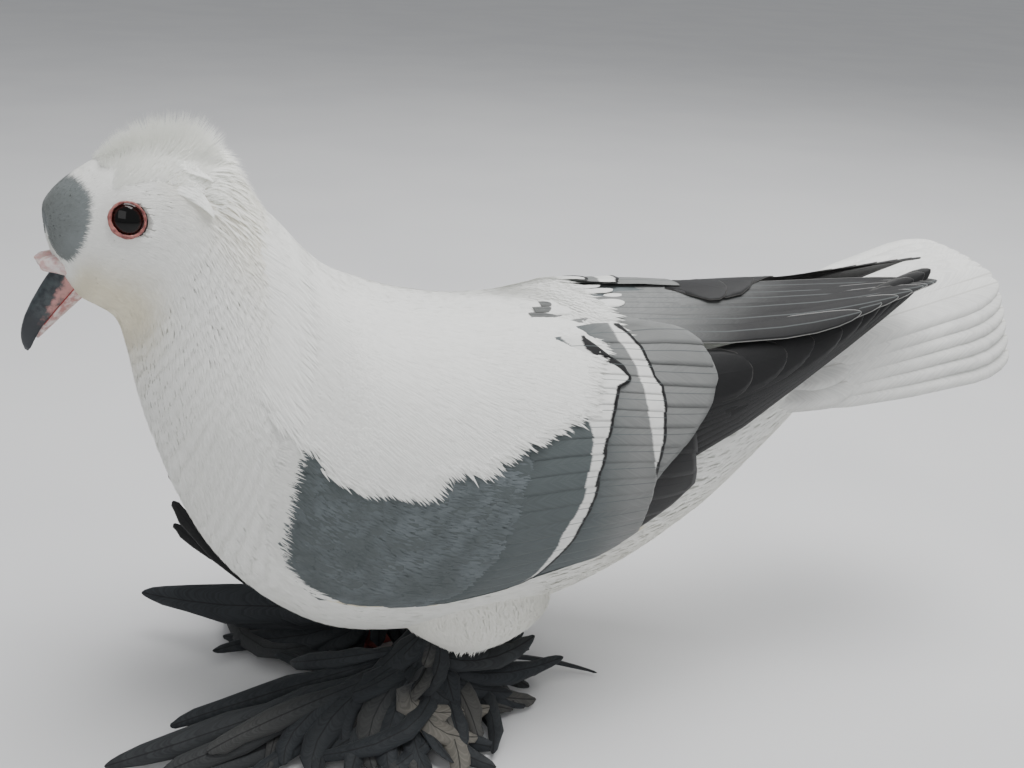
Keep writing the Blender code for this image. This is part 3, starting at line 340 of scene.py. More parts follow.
def frame_shift():
    """From the drawn bird to the row's frame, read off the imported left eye."""
    low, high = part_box("eye_left")
    return (np.array(low) + np.array(high)) / 2.0 / MM - posed(eye_centre()[0])[0]


SHIFT = frame_shift()


def settle(points, side=LEFT, pose=True):
    """Points of the drawn bird, in millimetres, at their place in the row's frame, in metres."""
    points = np.array(points, float).reshape(-1, 3)
    if side == RIGHT:
        points = points * (1.0, -1.0, 1.0)
    if pose:
        points = posed(points)
    return (points + SHIFT) * MM


def wing_point(side, x, s, out):
    """The point that stands out from the bed at a place on the wing. The right wing is drawn up over the back."""
    x, s, out = np.broadcast_arrays(np.asarray(x, float), np.asarray(s, float), np.asarray(out, float))
    start, full, last, end = RIGHT_WING_X
    share = rise(x, start, full) * (1.0 - rise(x, last, end)) * (side == RIGHT)
    drawn = s - RIGHT_WING_UP * share * np.clip(1.0 - s / RIGHT_WING_LOW_S, 0.0, 1.0)
    return WING_BED.chart(x, drawn, out + RIGHT_WING_LIFT * share)


def bend(root, control, tip, shares):
    """Points of a quadratic curve from root to tip."""
    u = np.asarray(shares, float)[:, None]
    root, control, tip = (np.asarray(v, float) for v in (root, control, tip))
    return root * (1 - u) ** 2 + 2 * control * u * (1 - u) + tip * u**2


def blades(lines, ups, widths, ridge=0.3):
    """Closed, pointed blades of three sides along many lines: their points, and the faces of one."""
    along = np.gradient(lines, axis=1)
    across = unit(np.cross(np.broadcast_to(ups, lines.shape), along))
    up = unit(np.cross(along, across))
    half = widths[..., None] / 2.0
    body = lines[:, :-1]
    left, right = body - across[:, :-1] * half, body + across[:, :-1] * half
    points = np.stack([left, right, body + up[:, :-1] * half * 2.0 * ridge], 2)
    points = np.concatenate([points.reshape(len(lines), -1, 3), lines[:, -1:]], 1)
    sections = lines.shape[1] - 1
    quads = []
    for b in range(0, 3 * (sections - 1), 3):
        quads += [(b, b + 1, b + 4, b + 3), (b, b + 3, b + 5, b + 2), (b + 2, b + 5, b + 4, b + 1)]
    b, tip = 3 * (sections - 1), 3 * sections
    triangles = [(0, 2, 1), (b, b + 1, tip), (b, tip, b + 2), (b + 2, tip, b + 1)]
    share = np.append(np.repeat(np.arange(sections), 3), sections) / float(sections)
    return points, quads, triangles, share


def on_body(name, mesh, material):
    """An object of the mesh on the part's one body, with its material and slot."""
    mesh.materials.append(material)
    made = bpy.data.objects.new(name, mesh)
    bpy.context.scene.collection.objects.link(made)
    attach(made, "root")
    return made


def from_work(name, work, material):
    """A smooth object of a bmesh, which is then freed."""
    mesh = bpy.data.meshes.new(name)
    work.to_mesh(mesh)
    work.free()
    mesh.shade_smooth()
    return on_body(name, mesh, material)


def write_points(mesh, marks=None, values=None):
    """Writes each point's marks and named numbers on a mesh."""
    if marks is not None:
        full = np.concatenate([marks.reshape(-1, 3), np.ones((marks.size // 3, 1))], 1)
        colours = mesh.attributes.new("marks", "FLOAT_COLOR", "POINT")
        colours.data.foreach_set("color", full.astype(np.float32).ravel())
    for key, value in (values or {}).items():
        numbers = mesh.attributes.new(key, "FLOAT", "POINT")
        numbers.data.foreach_set("value", np.ascontiguousarray(value, np.float32).ravel())


def flat_mesh(name, points, loops, starts, totals, smooth):
    """A mesh from flat arrays."""
    mesh = bpy.data.meshes.new(name)
    mesh.vertices.add(len(points))
    mesh.loops.add(len(loops))
    mesh.polygons.add(len(starts))
    for rows, key, value, kind in (
        (mesh.vertices, "co", points, np.float32), (mesh.loops, "vertex_index", loops, np.int32),
        (mesh.polygons, "loop_start", starts, np.int32), (mesh.polygons, "loop_total", totals, np.int32),
        (mesh.polygons, "use_smooth", np.full(len(starts), smooth), bool),
    ):
        rows.foreach_set(key, np.ascontiguousarray(value, kind).ravel())
    mesh.update(calc_edges=True)
    return mesh


def signed_volume(points, faces):
    total = 0.0
    for face in faces:
        for k in range(1, len(face) - 1):
            total += np.dot(points[face[0]], np.cross(points[face[k]], points[face[k + 1]]))
    return total


def coat_piece(name, shape, material, side=LEFT, pose=True, marks=None, values=None, patches=None):
    """One joined mesh of many like tufts or vanes, with their marks, values and places on the unwrap."""
    points, quads, triangles = shape[:3]
    count, each = points.shape[:2]
    placed = settle(points, side, pose)
    faces = [tuple(face) for face in quads + triangles]
    ways = slice(None, None, -1) if signed_volume(placed[:each], faces) < 0 else slice(None)
    template = [face[ways] for face in faces]
    sizes = np.array([len(face) for face in template])
    corners = np.concatenate([np.array(face) for face in template])
    loops = (corners[None, :] + (np.arange(count) * each)[:, None]).ravel()
    totals = np.tile(sizes, count)
    starts = np.concatenate([[0], np.cumsum(totals)[:-1]])
    mesh = flat_mesh(name, placed, loops, starts, totals, patches is None)
    made = on_body(name, mesh, material)
    write_points(mesh, marks, values)
    unwrap = mesh.uv_layers.new(name="OFBake")
    if patches is None:
        columns = int(math.ceil(math.sqrt(count)))
        cell = np.stack([np.arange(count) % columns, np.arange(count) // columns], -1) / columns
        local = np.stack([shape[4] * 0.5 + 0.5, shape[3]], -1) * 0.94 / columns
    else:
        cell = np.clip(patches, 0.0, 0.996)
        local = np.stack([np.arange(each) % 3 / 2.0, shape[3]], -1) * 0.003
    spots = (cell[:, None] + local[None]).reshape(-1, 2)
    unwrap.data.foreach_set("uv", spots[loops].astype(np.float32).ravel())
    return made


def strand_piece(name, shape, tuft, patches, marks=(0.0, 0.0, 0.0), start=0.0, material=None,
                 side=LEFT, pose=True):
    """One joined mesh of strands with their numbers, their marks and the share along each, counted from start."""
    share, count = shape[3], len(tuft)
    held_marks = np.repeat(np.broadcast_to(marks, (count, 3))[:, None, :], len(share), axis=1)
    values = {"along": np.tile(start + (1.0 - start) * share, count), "tuft": np.repeat(tuft, len(share))}
    # By default strands take the white with a faint painted glow.
    coat_piece(name, shape, material or faint_glowing_white(), side, pose, held_marks, values, patches)


# Steps whose multiples fill a square evenly: the first two inverse powers of the plastic number.
EVEN_STEPS = np.array([0.7548776662466927, 0.5698402909980532])


def spread(count, seed, first=(0.0, 0.0), last=(1.0, 1.0)):
    """Evenly spread pairs of numbers between first and last, a little disturbed."""
    draw = np.random.default_rng(seed)
    n = np.arange(count)[:, None] + 0.5
    even = np.mod(n * EVEN_STEPS, 1.0)
    even = np.mod(even + draw.uniform(-0.35, 0.35, (count, 2)) / math.sqrt(count), 1.0)
    return np.array(first) + even * (np.array(last) - np.array(first))


def mm_per(t, a):
    """Millimetres of skin to a step of t and to a step of the angle."""
    step = 0.02
    along = np.linalg.norm(BODY.surface(t + step, a) - BODY.surface(t - step, a), axis=-1) / (2 * step)
    round_ = np.linalg.norm(BODY.surface(t, a + step) - BODY.surface(t, a - step), axis=-1) / (2 * step)
    return np.maximum(along, 0.4), np.maximum(round_, 0.4)


def scatter_body(count, seed, t_range, a_range):
    """Evenly spread places on the body's skin, as many to each square millimetre."""
    even = spread(count, seed)
    cells = 48
    t_grid, a_grid = np.linspace(*t_range, cells), np.linspace(*a_range, cells)
    along, round_ = mm_per(t_grid[:, None] + 0 * a_grid, a_grid[None, :] + 0 * t_grid[:, None])
    area = np.cumsum((along * round_).mean(1))
    t = np.interp(even[:, 0] * area[-1], np.concatenate([[0.0], area]), np.append(t_grid, t_grid[-1]))
    way = np.cumsum(round_, axis=1)
    way = (way - way[:, :1]) / (way[:, -1:] - way[:, :1])
    row = np.clip(np.searchsorted(t_grid, t), 0, cells - 1)
    a = np.zeros(count)
    for k in range(cells):
        here = row == k
        a[here] = np.interp(even[here, 1], way[k], a_grid)
    return np.stack([t, a], -1)


def snip_line(a):
    """The section from which the snip is grey, at an angle."""
    return np.interp(np.abs(a), SNIP_ANGLES, SNIP_FROM)


def body_marks(t, a):
    """Grey, cream and dark of the plumage at a place on the body."""
    t, a = np.broadcast_arrays(np.asarray(t, float), np.asarray(a, float))
    side = np.abs(a)
    grey = rise(t - snip_line(a), -0.1, 0.12)
    nape = rise(t, 9.5, 12.5) * (1 - rise(t, 14.5, 16.0)) * (1 - rise(side, 0.5, 1.5)) * 0.55
    throat = rise(t, 12.0, 14.5) * (1 - rise(t, 17.0, 18.0)) * rise(side, 1.7, 2.4) * 0.9
    vent = (1 - rise(t, 2.0, 6.0)) * rise(side, 1.6, 2.4) * 0.25
    return np.stack([grey, np.maximum(np.maximum(nape, throat), vent), np.zeros_like(grey)], -1)


def way_along(t):
    """Millimetres along the body's side to a section."""
    grid = np.linspace(0.0, 20.0, 81)
    line = BODY.surface(grid, np.full(81, 1.4))
    way = np.concatenate([[0.0], np.cumsum(np.linalg.norm(np.diff(line, axis=0), axis=-1))])
    return np.interp(t, grid, way)


def body_strands(places, length, width, lift, lock, pull, seed, sway=0.1, depth=SKIN_DEPTH, tier=0.0):
    """Pointed strands along the lie of the coat, drawn into locks, or with ends that meet in wavy tiers."""
    draw = np.random.default_rng(seed)
    t, a = places[:, 0], places[:, 1]
    count = len(t)
    length = np.broadcast_to(length, count) * draw.uniform(0.75, 1.15, count)
    width = np.broadcast_to(width, count) * draw.uniform(0.8, 1.2, count)
    along, round_ = mm_per(t, a)
    across = a * round_
    wave = np.sin(t * 2.3 + across * 0.05) * lock * 0.35 + np.sin(t * 5.1 + 1.7) * lock * 0.2
    cell = (across + wave) / lock
    centre = (np.floor(cell) + 0.5) * lock - wave
    row = np.floor(t * along / (lock * 2.6) + np.mod(np.floor(cell) * 0.618, 1.0))
    furrow = np.abs(cell - np.floor(cell) - 0.5) * 2.0
    way = draw.normal(0.0, sway, count) + 0.1 * np.sin(row * 2.4 + np.floor(cell))
    high = lift * (1.15 - 0.6 * furrow**2) * draw.uniform(0.7, 1.25, count)
    if tier:
        ripple = 0.22 * np.sin(across * 0.3 + 1.3 * np.sin(t * 0.9)) + 0.1 * np.sin(across * 0.83 + t)
        part = np.mod(way_along(t) / tier + ripple, 1.0)
        share = np.broadcast_to(rise(length, 1.5, 5.0), count)
        length = length * (1.0 - share) + share * (length * 0.55 + part * tier + draw.normal(0, 0.35, count))
        high = high * (0.6 + 0.6 * (1.0 - part))
    reach_t = -length * np.cos(way) / along
    reach_a = (length * np.sin(way) + pull * (centre - across)) / round_
    lines, ups = [], []
    for u, out in ((0.0, -depth - 0.25), (0.3, -0.12 + 0.25 * high), (1.0, high)):
        point, normal = BODY.point(np.maximum(t + reach_t * u, -0.6), a + reach_a * u, np.broadcast_to(out, count))
        lines.append(point)
        ups.append(normal)
    lines, ups = np.stack(lines, 1), np.stack(ups, 1)
    widths = np.stack([width * 0.8, width], 1)
    return blades(lines, ups, widths, 0.06), draw.random(count)


def near_eye(t, a, reach):
    """True for places close to either eye."""
    centre = eye_centre()[0]
    point = BODY.surface(t, np.abs(a))
    return np.linalg.norm(point - centre, axis=-1) < reach


def way_down(t, a):
    """The way from the middle of the back round to a place, in millimetres."""
    shares = np.linspace(0.0, 1.0, 25)[:, None]
    ring = BODY.surface(np.broadcast_to(t, (25, len(t))), shares * np.abs(a)[None])
    return np.linalg.norm(np.diff(ring, axis=0), axis=-1).sum(0)


def under_wing(t, a):
    """True for places that a folded wing hides."""
    point = BODY.surface(t, a)
    way = way_down(t, a)
    low = pad_low(point[:, 0])
    ahead = pad_front(way) + 5.0
    return (point[:, 0] > ahead) & (point[:, 0] < 66.0) & (way > 24.0) & (way < low - 7.0)


def unwrap_body(t, a):
    """Places on the unwrap of the body's skin."""
    return np.stack([0.5 + np.asarray(a) / (2 * math.pi) * 0.98, (np.asarray(t) + 0.6) / 21.0], -1)


def unwrap_wing(x, s):
    """Places on the unwrap of the wing's chart."""
    return np.stack([(np.asarray(x) + 90.0) / 290.0, (np.asarray(s) + 60.0) / 220.0], -1)


def pad_out(x, s):
    """How far the wing's soft form stands out from its bed."""
    low = pad_low(x)
    down = rise(low - s, -2.0, 24.0)
    ahead = pad_front(s)
    front = rise(x - ahead, -2.0, 22.0)
    rear = 1.0 - 0.4 * rise(x, 30.0, 70.0) - 0.35 * rise(x, 70.0, 90.0)
    top = 0.1 + 0.9 * rise(s, 6.0, 50.0)
    return 0.3 + PAD_HEIGHT * np.sqrt(np.clip(down * front, 0, 1)) * top * rear


def wing_strands(side, x, s, dx, ds, width, lift, depth, seed, height=pad_out, ridge=0.2):
    """Pointed strands on the wing, from places on its chart, by dx and ds along it."""
    draw = np.random.default_rng(seed)
    count = len(x)
    width = np.broadcast_to(width, count) * draw.uniform(0.8, 1.2, count)
    high = lift * draw.uniform(0.5, 1.3, count)
    lines = []
    for u, share in ((0.0, None), (0.5, 0.5), (1.0, 1.0)):
        px, ps = x + dx * u, s + ds * u
        out = height(px, ps) + (-depth if share is None else high * share)
        lines.append(wing_point(side, px, ps, out))
    lines = np.stack(lines, 1)
    raised = wing_point(side, x + dx * 0.5, s + ds * 0.5, height(x, s) + 3.0)
    flat = wing_point(side, x + dx * 0.5, s + ds * 0.5, height(x, s))
    ups = unit(raised - flat)[:, None, :]
    return blades(lines, ups, np.stack([width * 0.8, width], 1), ridge), draw.random(count)


VANE_TURNS = np.radians([0.0, 22.0, 42.0, 58.0, 70.0, 80.0, 87.0])


def rounded_stations(straight):
    """Shares along a vane whose sides run out in a rounded end after the share straight."""
    return np.concatenate([np.linspace(0.0, straight, 5)[:-1], straight + (1.0 - straight) * np.sin(VANE_TURNS)])


def vane_width(shares, straight, root=0.7):
    """The share of its full width that a vane has along it."""
    end = np.sqrt(np.clip(1.0 - (np.clip(shares - straight, 0.0, 1.0) / (1.0 - straight)) ** 2, 0.002, 1.0))
    return end * (root + (1.0 - root) * rise(shares, 0.0, 0.35))


def vane_values(shares, places, length, half, straight):
    """For each point of a vane: the way to its rounded end and to its side, and the way across, in millimetres."""
    width = vane_width(shares, straight)
    side = places[None, :] * width[:, None] * half
    end = straight + (1.0 - straight) * np.sqrt(np.clip(1.0 - (side / half) ** 2, 0.0, 1.0))
    to_side = (1.0 - np.abs(places[None, :])) * width[:, None] * half
    return {"to_end": (end - shares[:, None]) * length, "to_side": to_side, "across": side}


def vane_ring(columns):
    """Places round a vane, over its upper face and back under it, and the side that each one's face looks to."""
    place = np.linspace(-1.0, 1.0, columns)
    return np.concatenate([place, place[::-1]]), np.repeat([1.0, -1.0], columns)


def vane_set(points, shares, ring, values):
    """The shape of many like vanes, and the values of their points."""
    shape = (np.array(points), ring_quads(len(shares), len(ring) // 2), [], np.repeat(shares, len(ring)),
             np.tile(ring, len(shares)))
    return shape, {key: np.array([one[key].ravel() for one in values]) for key in values[0]}


def chart_vanes(side, rows, columns=9, straight=0.75, tilt=0.35, camber=0.25, height=None):
    """Closed vanes on the wing's bed. Each row: root, control and tip on the chart, half width, lift at root and
    tip, and thickness."""
    shares = rounded_stations(straight)
    ring, face = vane_ring(columns)
    points, values = [], []
    for root, control, tip, half, base, thick in rows:
        line = bend(root, control, tip, shares)
        along = unit(np.gradient(line, axis=0))
        across = np.stack([-along[:, 1], along[:, 0]], -1)
        half_here = vane_width(shares, straight) * half
        x = line[:, None, 0] + across[:, None, 0] * half_here[:, None] * ring[None]
        s = line[:, None, 1] + across[:, None, 1] * half_here[:, None] * ring[None]
        lift = np.interp(shares, [0.0, 0.25, 1.0], [base[0], base[1] - 0.2, base[1]])[:, None]
        deep = thick * (1.0 - 0.5 * shares[:, None]) * (1.0 - 0.75 * ring[None] ** 2) * 0.5
        out = lift + tilt * ring[None] + camber * (1.0 - ring[None] ** 2) + face[None] * deep
        if height:
            out = out + height(x, s)
        points.append(wing_point(side, x, s, out).reshape(-1, 3))
        length = np.linalg.norm(np.diff(line, axis=0), axis=-1).sum()
        values.append(vane_values(shares, ring, length, half, straight))
    return vane_set(points, shares, ring, values)


SHEET_SHARES = np.array([0.0, 0.3, 0.55, 0.75, 0.87, 0.95, 1.0])


def tier_sheet(side, edge, count, run, slant, lifts, band=None, edged=None, columns=7, corner=0.4, lap=0.35,
               tilt=0.2, thick=0.5, jag=0.25, seed=3):
    """A tier of vanes side by side on the wing's soft form, whose ends together follow one edge."""
    s_edge, x_edge = np.array(edge).T
    bounds = np.linspace(s_edge[0], s_edge[-1], count + 1)
    ring, face = vane_ring(columns)
    draw = np.random.default_rng(seed)
    shares = SHEET_SHARES[:, None]
    steep = np.gradient(np.interp(np.arange(0.0, 130.0), s_edge, x_edge))
    points, values = [], []
    for i in range(count):
        half = (bounds[i + 1] - bounds[i]) / 2.0 * (1.0 + lap)
        s_tip = (bounds[i] + bounds[i + 1]) / 2.0 + half * ring[None]
        offset = draw.normal(0.0, jag)
        x = np.interp(s_tip, s_edge, x_edge) + offset - corner * np.abs(ring[None]) ** 3 - run * (1.0 - shares)
        s = s_tip + slant * (1.0 - shares) * (0.25 + i / float(count))
        s = np.minimum(s, pad_low(x) - 0.2)
        lift = np.interp(shares, [0.0, 0.3, 1.0], [lifts[0], lifts[0] * 0.5 + lifts[1] * 0.5, lifts[1]])
        deep = thick * (1.0 - 0.5 * shares) * (1.0 - 0.8 * ring[None] ** 2) * 0.5
        over = (1.0 - rise(s, 14.0, 34.0)) * rise(shares, 0.4, 0.85) * rise(x, 14.0, 30.0)
        raised = NEAR_TOP_RAISED * over * (side == LEFT)
        out = pad_out(x, s) + lift + raised + tilt * ring[None] + face[None] * deep
        points.append(wing_point(side, x, s, out).reshape(-1, 3))
        near = 1.0 / np.sqrt(1.0 + np.interp(s_tip, np.arange(0.0, 130.0), steep) ** 2)
        end = (np.interp(s_tip, s_edge, x_edge) + offset - x) * near
        flat = np.ones_like(x)
        wide, black = (along_edge(table, s_tip) if table else 0.0 for table in (band, edged))
        values.append({"to_end": end, "to_side": half * (1 - np.abs(ring)) * flat, "across": half * ring * flat,
                       "band": wide * near * flat, "edged": black * flat, "rear": (x - 40.0) / 130.0})
    return vane_set(points, SHEET_SHARES, ring, values)


def ring_quads(stations, columns):
    """Faces of one vane: its skin between sections, and its two ends."""
    sides = 2 * columns
    quads = []
    for i in range(stations - 1):
        for j in range(sides):
            k = (j + 1) % sides
            quads.append((i * sides + j, i * sides + k, (i + 1) * sides + k, (i + 1) * sides + j))
    last = (stations - 1) * sides
    for j in range(columns - 1):
        k = sides - 1 - j
        quads.append((j + 1, j, k, k - 1))
        quads.append((last + j, last + j + 1, last + k - 1, last + k))
    return quads


def free_vanes(rows, columns=7, straight=0.82, camber=0.12, fray=0.0, seed=1):
    """Closed vanes along curves in space. Each row: line control points, the way across, half width, thickness."""
    shares = rounded_stations(straight)
    ring, face = vane_ring(columns)
    draw = np.random.default_rng(seed)
    points, values = [], []
    for root, control, tip, across, half, thick in rows:
        line = bend(root, control, tip, shares)
        along = unit(np.gradient(line, axis=0))
        across = unit(np.array(across)[None] - (along @ np.array(across))[:, None] * along)
        up = np.cross(along, across)
        width = vane_width(shares, straight, 0.45) * half
        left = width * (1.0 - fray * draw.random(len(width)))
        right = width * (1.0 - fray * draw.random(len(width)))
        width = np.where(ring[None] < 0.0, left[:, None], right[:, None])
        sag = camber * half * ring**2
        deep = thick * (1.0 - 0.6 * shares[:, None]) * (1.0 - 0.75 * ring[None] ** 2) * 0.5
        point = line[:, None] + across[:, None] * (width * ring[None])[..., None]
        point = point + up[:, None] * (face[None] * deep - sag[None] * (width / half))[..., None]
        points.append(point.reshape(-1, 3))
        length = np.linalg.norm(np.diff(line, axis=0), axis=-1).sum()
        values.append(vane_values(shares, ring, length, half, straight))
    return vane_set(points, shares, ring, values)


def node(tree, kind, inputs=None, **settings):
    """A shader node with its settings, and its inputs linked or set."""
    made = tree.nodes.new(kind)
    for key, value in settings.items():
        setattr(made, key, value)
    for key, value in (inputs or {}).items():
        if isinstance(value, bpy.types.NodeSocket):
            tree.links.new(value, made.inputs[key])
        else:
            made.inputs[key].default_value = value
    return made


def calc(tree, operation, first, second=0.0, third=0.0):
    """The result of one Math node."""
    return node(tree, "ShaderNodeMath", {0: first, 1: second, 2: third}, operation=operation).outputs[0]


def blend_colour(tree, share, first, second, way="MIX"):
    inputs = {0: share, 6: first, 7: second}
    return node(tree, "ShaderNodeMix", inputs, data_type="RGBA", blend_type=way).outputs[2]


def smooth_step(tree, value, start, end, low=0.0, high=1.0):
    inputs = {0: value, 1: start, 2: end, 3: low, 4: high}
    return node(tree, "ShaderNodeMapRange", inputs, interpolation_type="SMOOTHSTEP").outputs[0]


def held(tree, name, output="Fac"):
    """A value that the mesh holds for each point."""
    return node(tree, "ShaderNodeAttribute", attribute_name=name).outputs[output]


def object_noise(tree, size_mm, detail=3.0, stretch=(1.0, 1.0, 1.0), rough=0.55):
    """Noise about size_mm across, on the piece's own coordinates."""
    place = node(tree, "ShaderNodeTexCoord").outputs["Object"]
    place = node(tree, "ShaderNodeMapping", {"Vector": place, "Scale": stretch}).outputs[0]
    made = node(tree, "ShaderNodeTexNoise", {"Vector": place, "Scale": 1000.0 / size_mm, "Detail": detail,
                                             "Roughness": rough})
    return made.outputs[0]


def new_group(name, inputs, outputs):
    """A node group with named inputs and outputs, as (tree, input sockets, output node)."""
    tree = bpy.data.node_groups.new(name, "ShaderNodeTree")
    for key, kind, default in inputs:
        made = tree.interface.new_socket(key, in_out="INPUT", socket_type=kind)
        made.default_value = default
    for key, kind in outputs:
        tree.interface.new_socket(key, in_out="OUTPUT", socket_type=kind)
    taken = tree.nodes.new("NodeGroupInput")
    given = tree.nodes.new("NodeGroupOutput")
    return tree, taken.outputs, given.inputs


def plumage_group():
    """Colour of skin and strands from their marks, with painted shade that darkens them towards the roots, and soft
    patches.
    """
    made = bpy.data.node_groups.get("Plumage")
    if made:
        return made
    colour, number = "NodeSocketColor", "NodeSocketFloat"
    tree, taken, given = new_group("Plumage", [
        ("White", colour, (0.8, 0.8, 0.77, 1.0)), ("Grey", colour, (0.2, 0.23, 0.26, 1.0)),
        ("Cream", colour, (0.6, 0.52, 0.36, 1.0)), ("Dark", colour, (0.02, 0.02, 0.02, 1.0)),
        ("Root Shade", number, 0.75)], [("Color", colour), ("Height", number)])
    marks = node(tree, "ShaderNodeSeparateColor", {0: held(tree, "marks", "Color")}).outputs
    patch = object_noise(tree, 14.0)
    fine = object_noise(tree, 2.2, 4.0)
    shade = blend_colour(tree, marks[1], taken["White"], taken["Cream"])
    mottled = blend_colour(tree, smooth_step(tree, patch, 0.3, 0.75, 0.0, 0.3), taken["Grey"], (0.3, 0.34, 0.37, 1.0))
    shade = blend_colour(tree, marks[0], shade, mottled)
    shade = blend_colour(tree, marks[2], shade, taken["Dark"])
    # Painted shade: strands are darker towards their roots, where the coat shades itself.
    root = smooth_step(tree, held(tree, "along"), 0.0, 0.4, taken["Root Shade"], 1.0)
    each = calc(tree, "MULTIPLY_ADD", held(tree, "tuft"), 0.07, 0.965)
    patchy = calc(tree, "MULTIPLY_ADD", fine, 0.12, 0.94)
    factor = calc(tree, "MULTIPLY", calc(tree, "MULTIPLY", root, each), patchy)
    grey = node(tree, "ShaderNodeCombineColor", {0: factor, 1: factor, 2: factor}).outputs[0]
    tree.links.new(blend_colour(tree, 1.0, shade, grey, "MULTIPLY"), given["Color"])
    tree.links.new(fine, given["Height"])
    return tree


def vane_group():
    """Fine barbs that leave a shaft slantwise, with splits between them, as heights and masks."""
    made = bpy.data.node_groups.get("Vane")
    if made:
        return made
    number = "NodeSocketFloat"
    tree, taken, given = new_group("Vane", [("Barb Size", number, 0.7), ("Shaft Width", number, 0.35)], [
        ("Height", number), ("Shade", number), ("Shaft", number), ("Ragged Way", number), ("Rim", number)])
    across = calc(tree, "ABSOLUTE", held(tree, "across"))
    to_end, to_side, tuft = held(tree, "to_end"), held(tree, "to_side"), held(tree, "tuft")
    slant = calc(tree, "MULTIPLY_ADD", across, 2.1, to_end)
    bend_ = calc(tree, "MULTIPLY_ADD", object_noise(tree, 9.0, 2.0), 1.4, slant)
    barbs = calc(tree, "SINE", calc(tree, "DIVIDE", calc(tree, "MULTIPLY", bend_, 6.283), taken["Barb Size"]))
    lines = node(tree, "ShaderNodeCombineXYZ", {0: bend_, 1: calc(tree, "MULTIPLY", tuft, 37.0)}).outputs[0]
    streak = node(tree, "ShaderNodeTexNoise", {"Vector": lines, "Scale": 0.9, "Detail": 4.0}).outputs[0]
    fine = node(tree, "ShaderNodeTexNoise", {"Vector": lines, "Scale": 3.2, "Detail": 2.0}).outputs[0]
    shaft = smooth_step(tree, across, calc(tree, "MULTIPLY", taken["Shaft Width"], 0.5), taken["Shaft Width"], 1.0, 0.0)
    height = calc(tree, "MULTIPLY_ADD", barbs, 0.25, calc(tree, "MULTIPLY", streak, 0.8))
    tree.links.new(calc(tree, "ADD", height, shaft), given["Height"])
    tree.links.new(streak, given["Shade"])
    tree.links.new(shaft, given["Shaft"])
    ragged = calc(tree, "MULTIPLY_ADD", calc(tree, "SUBTRACT", fine, 0.5), 1.6, to_end)
    tree.links.new(ragged, given["Ragged Way"])
    near = calc(tree, "MINIMUM", to_side, to_end)
    tree.links.new(calc(tree, "MULTIPLY_ADD", calc(tree, "SUBTRACT", fine, 0.5), 0.5, near), given["Rim"])
    return tree


def new_material(name, **sockets):
    """A Principled material with constant sockets, as (material, tree, shader)."""
    made = bpy.data.materials.new(name)
    made.use_nodes = True
    shader = made.node_tree.nodes["Principled BSDF"]
    for key, value in sockets.items():
        shader.inputs[key.replace("_", " ")].default_value = value
    return made, made.node_tree, shader


def bump(tree, shader, height, strength, distance_mm):
    made = node(tree, "ShaderNodeBump", {"Height": height, "Strength": strength, "Distance": distance_mm * MM})
    tree.links.new(made.outputs[0], shader.inputs["Normal"])


def rgba(colour):
    return (*tuple(colour)[:3], 1.0)


def plumage_material(name, looks, root_shade=0.9):
    """Soft plumage that follows the marks of the piece, with painted shade at the roots."""
    made, tree, shader = new_material(name, Roughness=0.72, Sheen_Weight=0.12, Sheen_Roughness=0.5,
                                      Specular_IOR_Level=0.2)
    group = node(tree, "ShaderNodeGroup", node_tree=plumage_group())
    for key, value in (("White", looks.white), ("Grey", looks.slate), ("Cream", looks.cream), ("Dark", looks.black)):
        group.inputs[key].default_value = rgba(value)
    group.inputs["Root Shade"].default_value = root_shade
    tree.links.new(group.outputs["Color"], shader.inputs["Base Color"])
    bump(tree, shader, group.outputs["Height"], 0.15, 0.3)
    return made


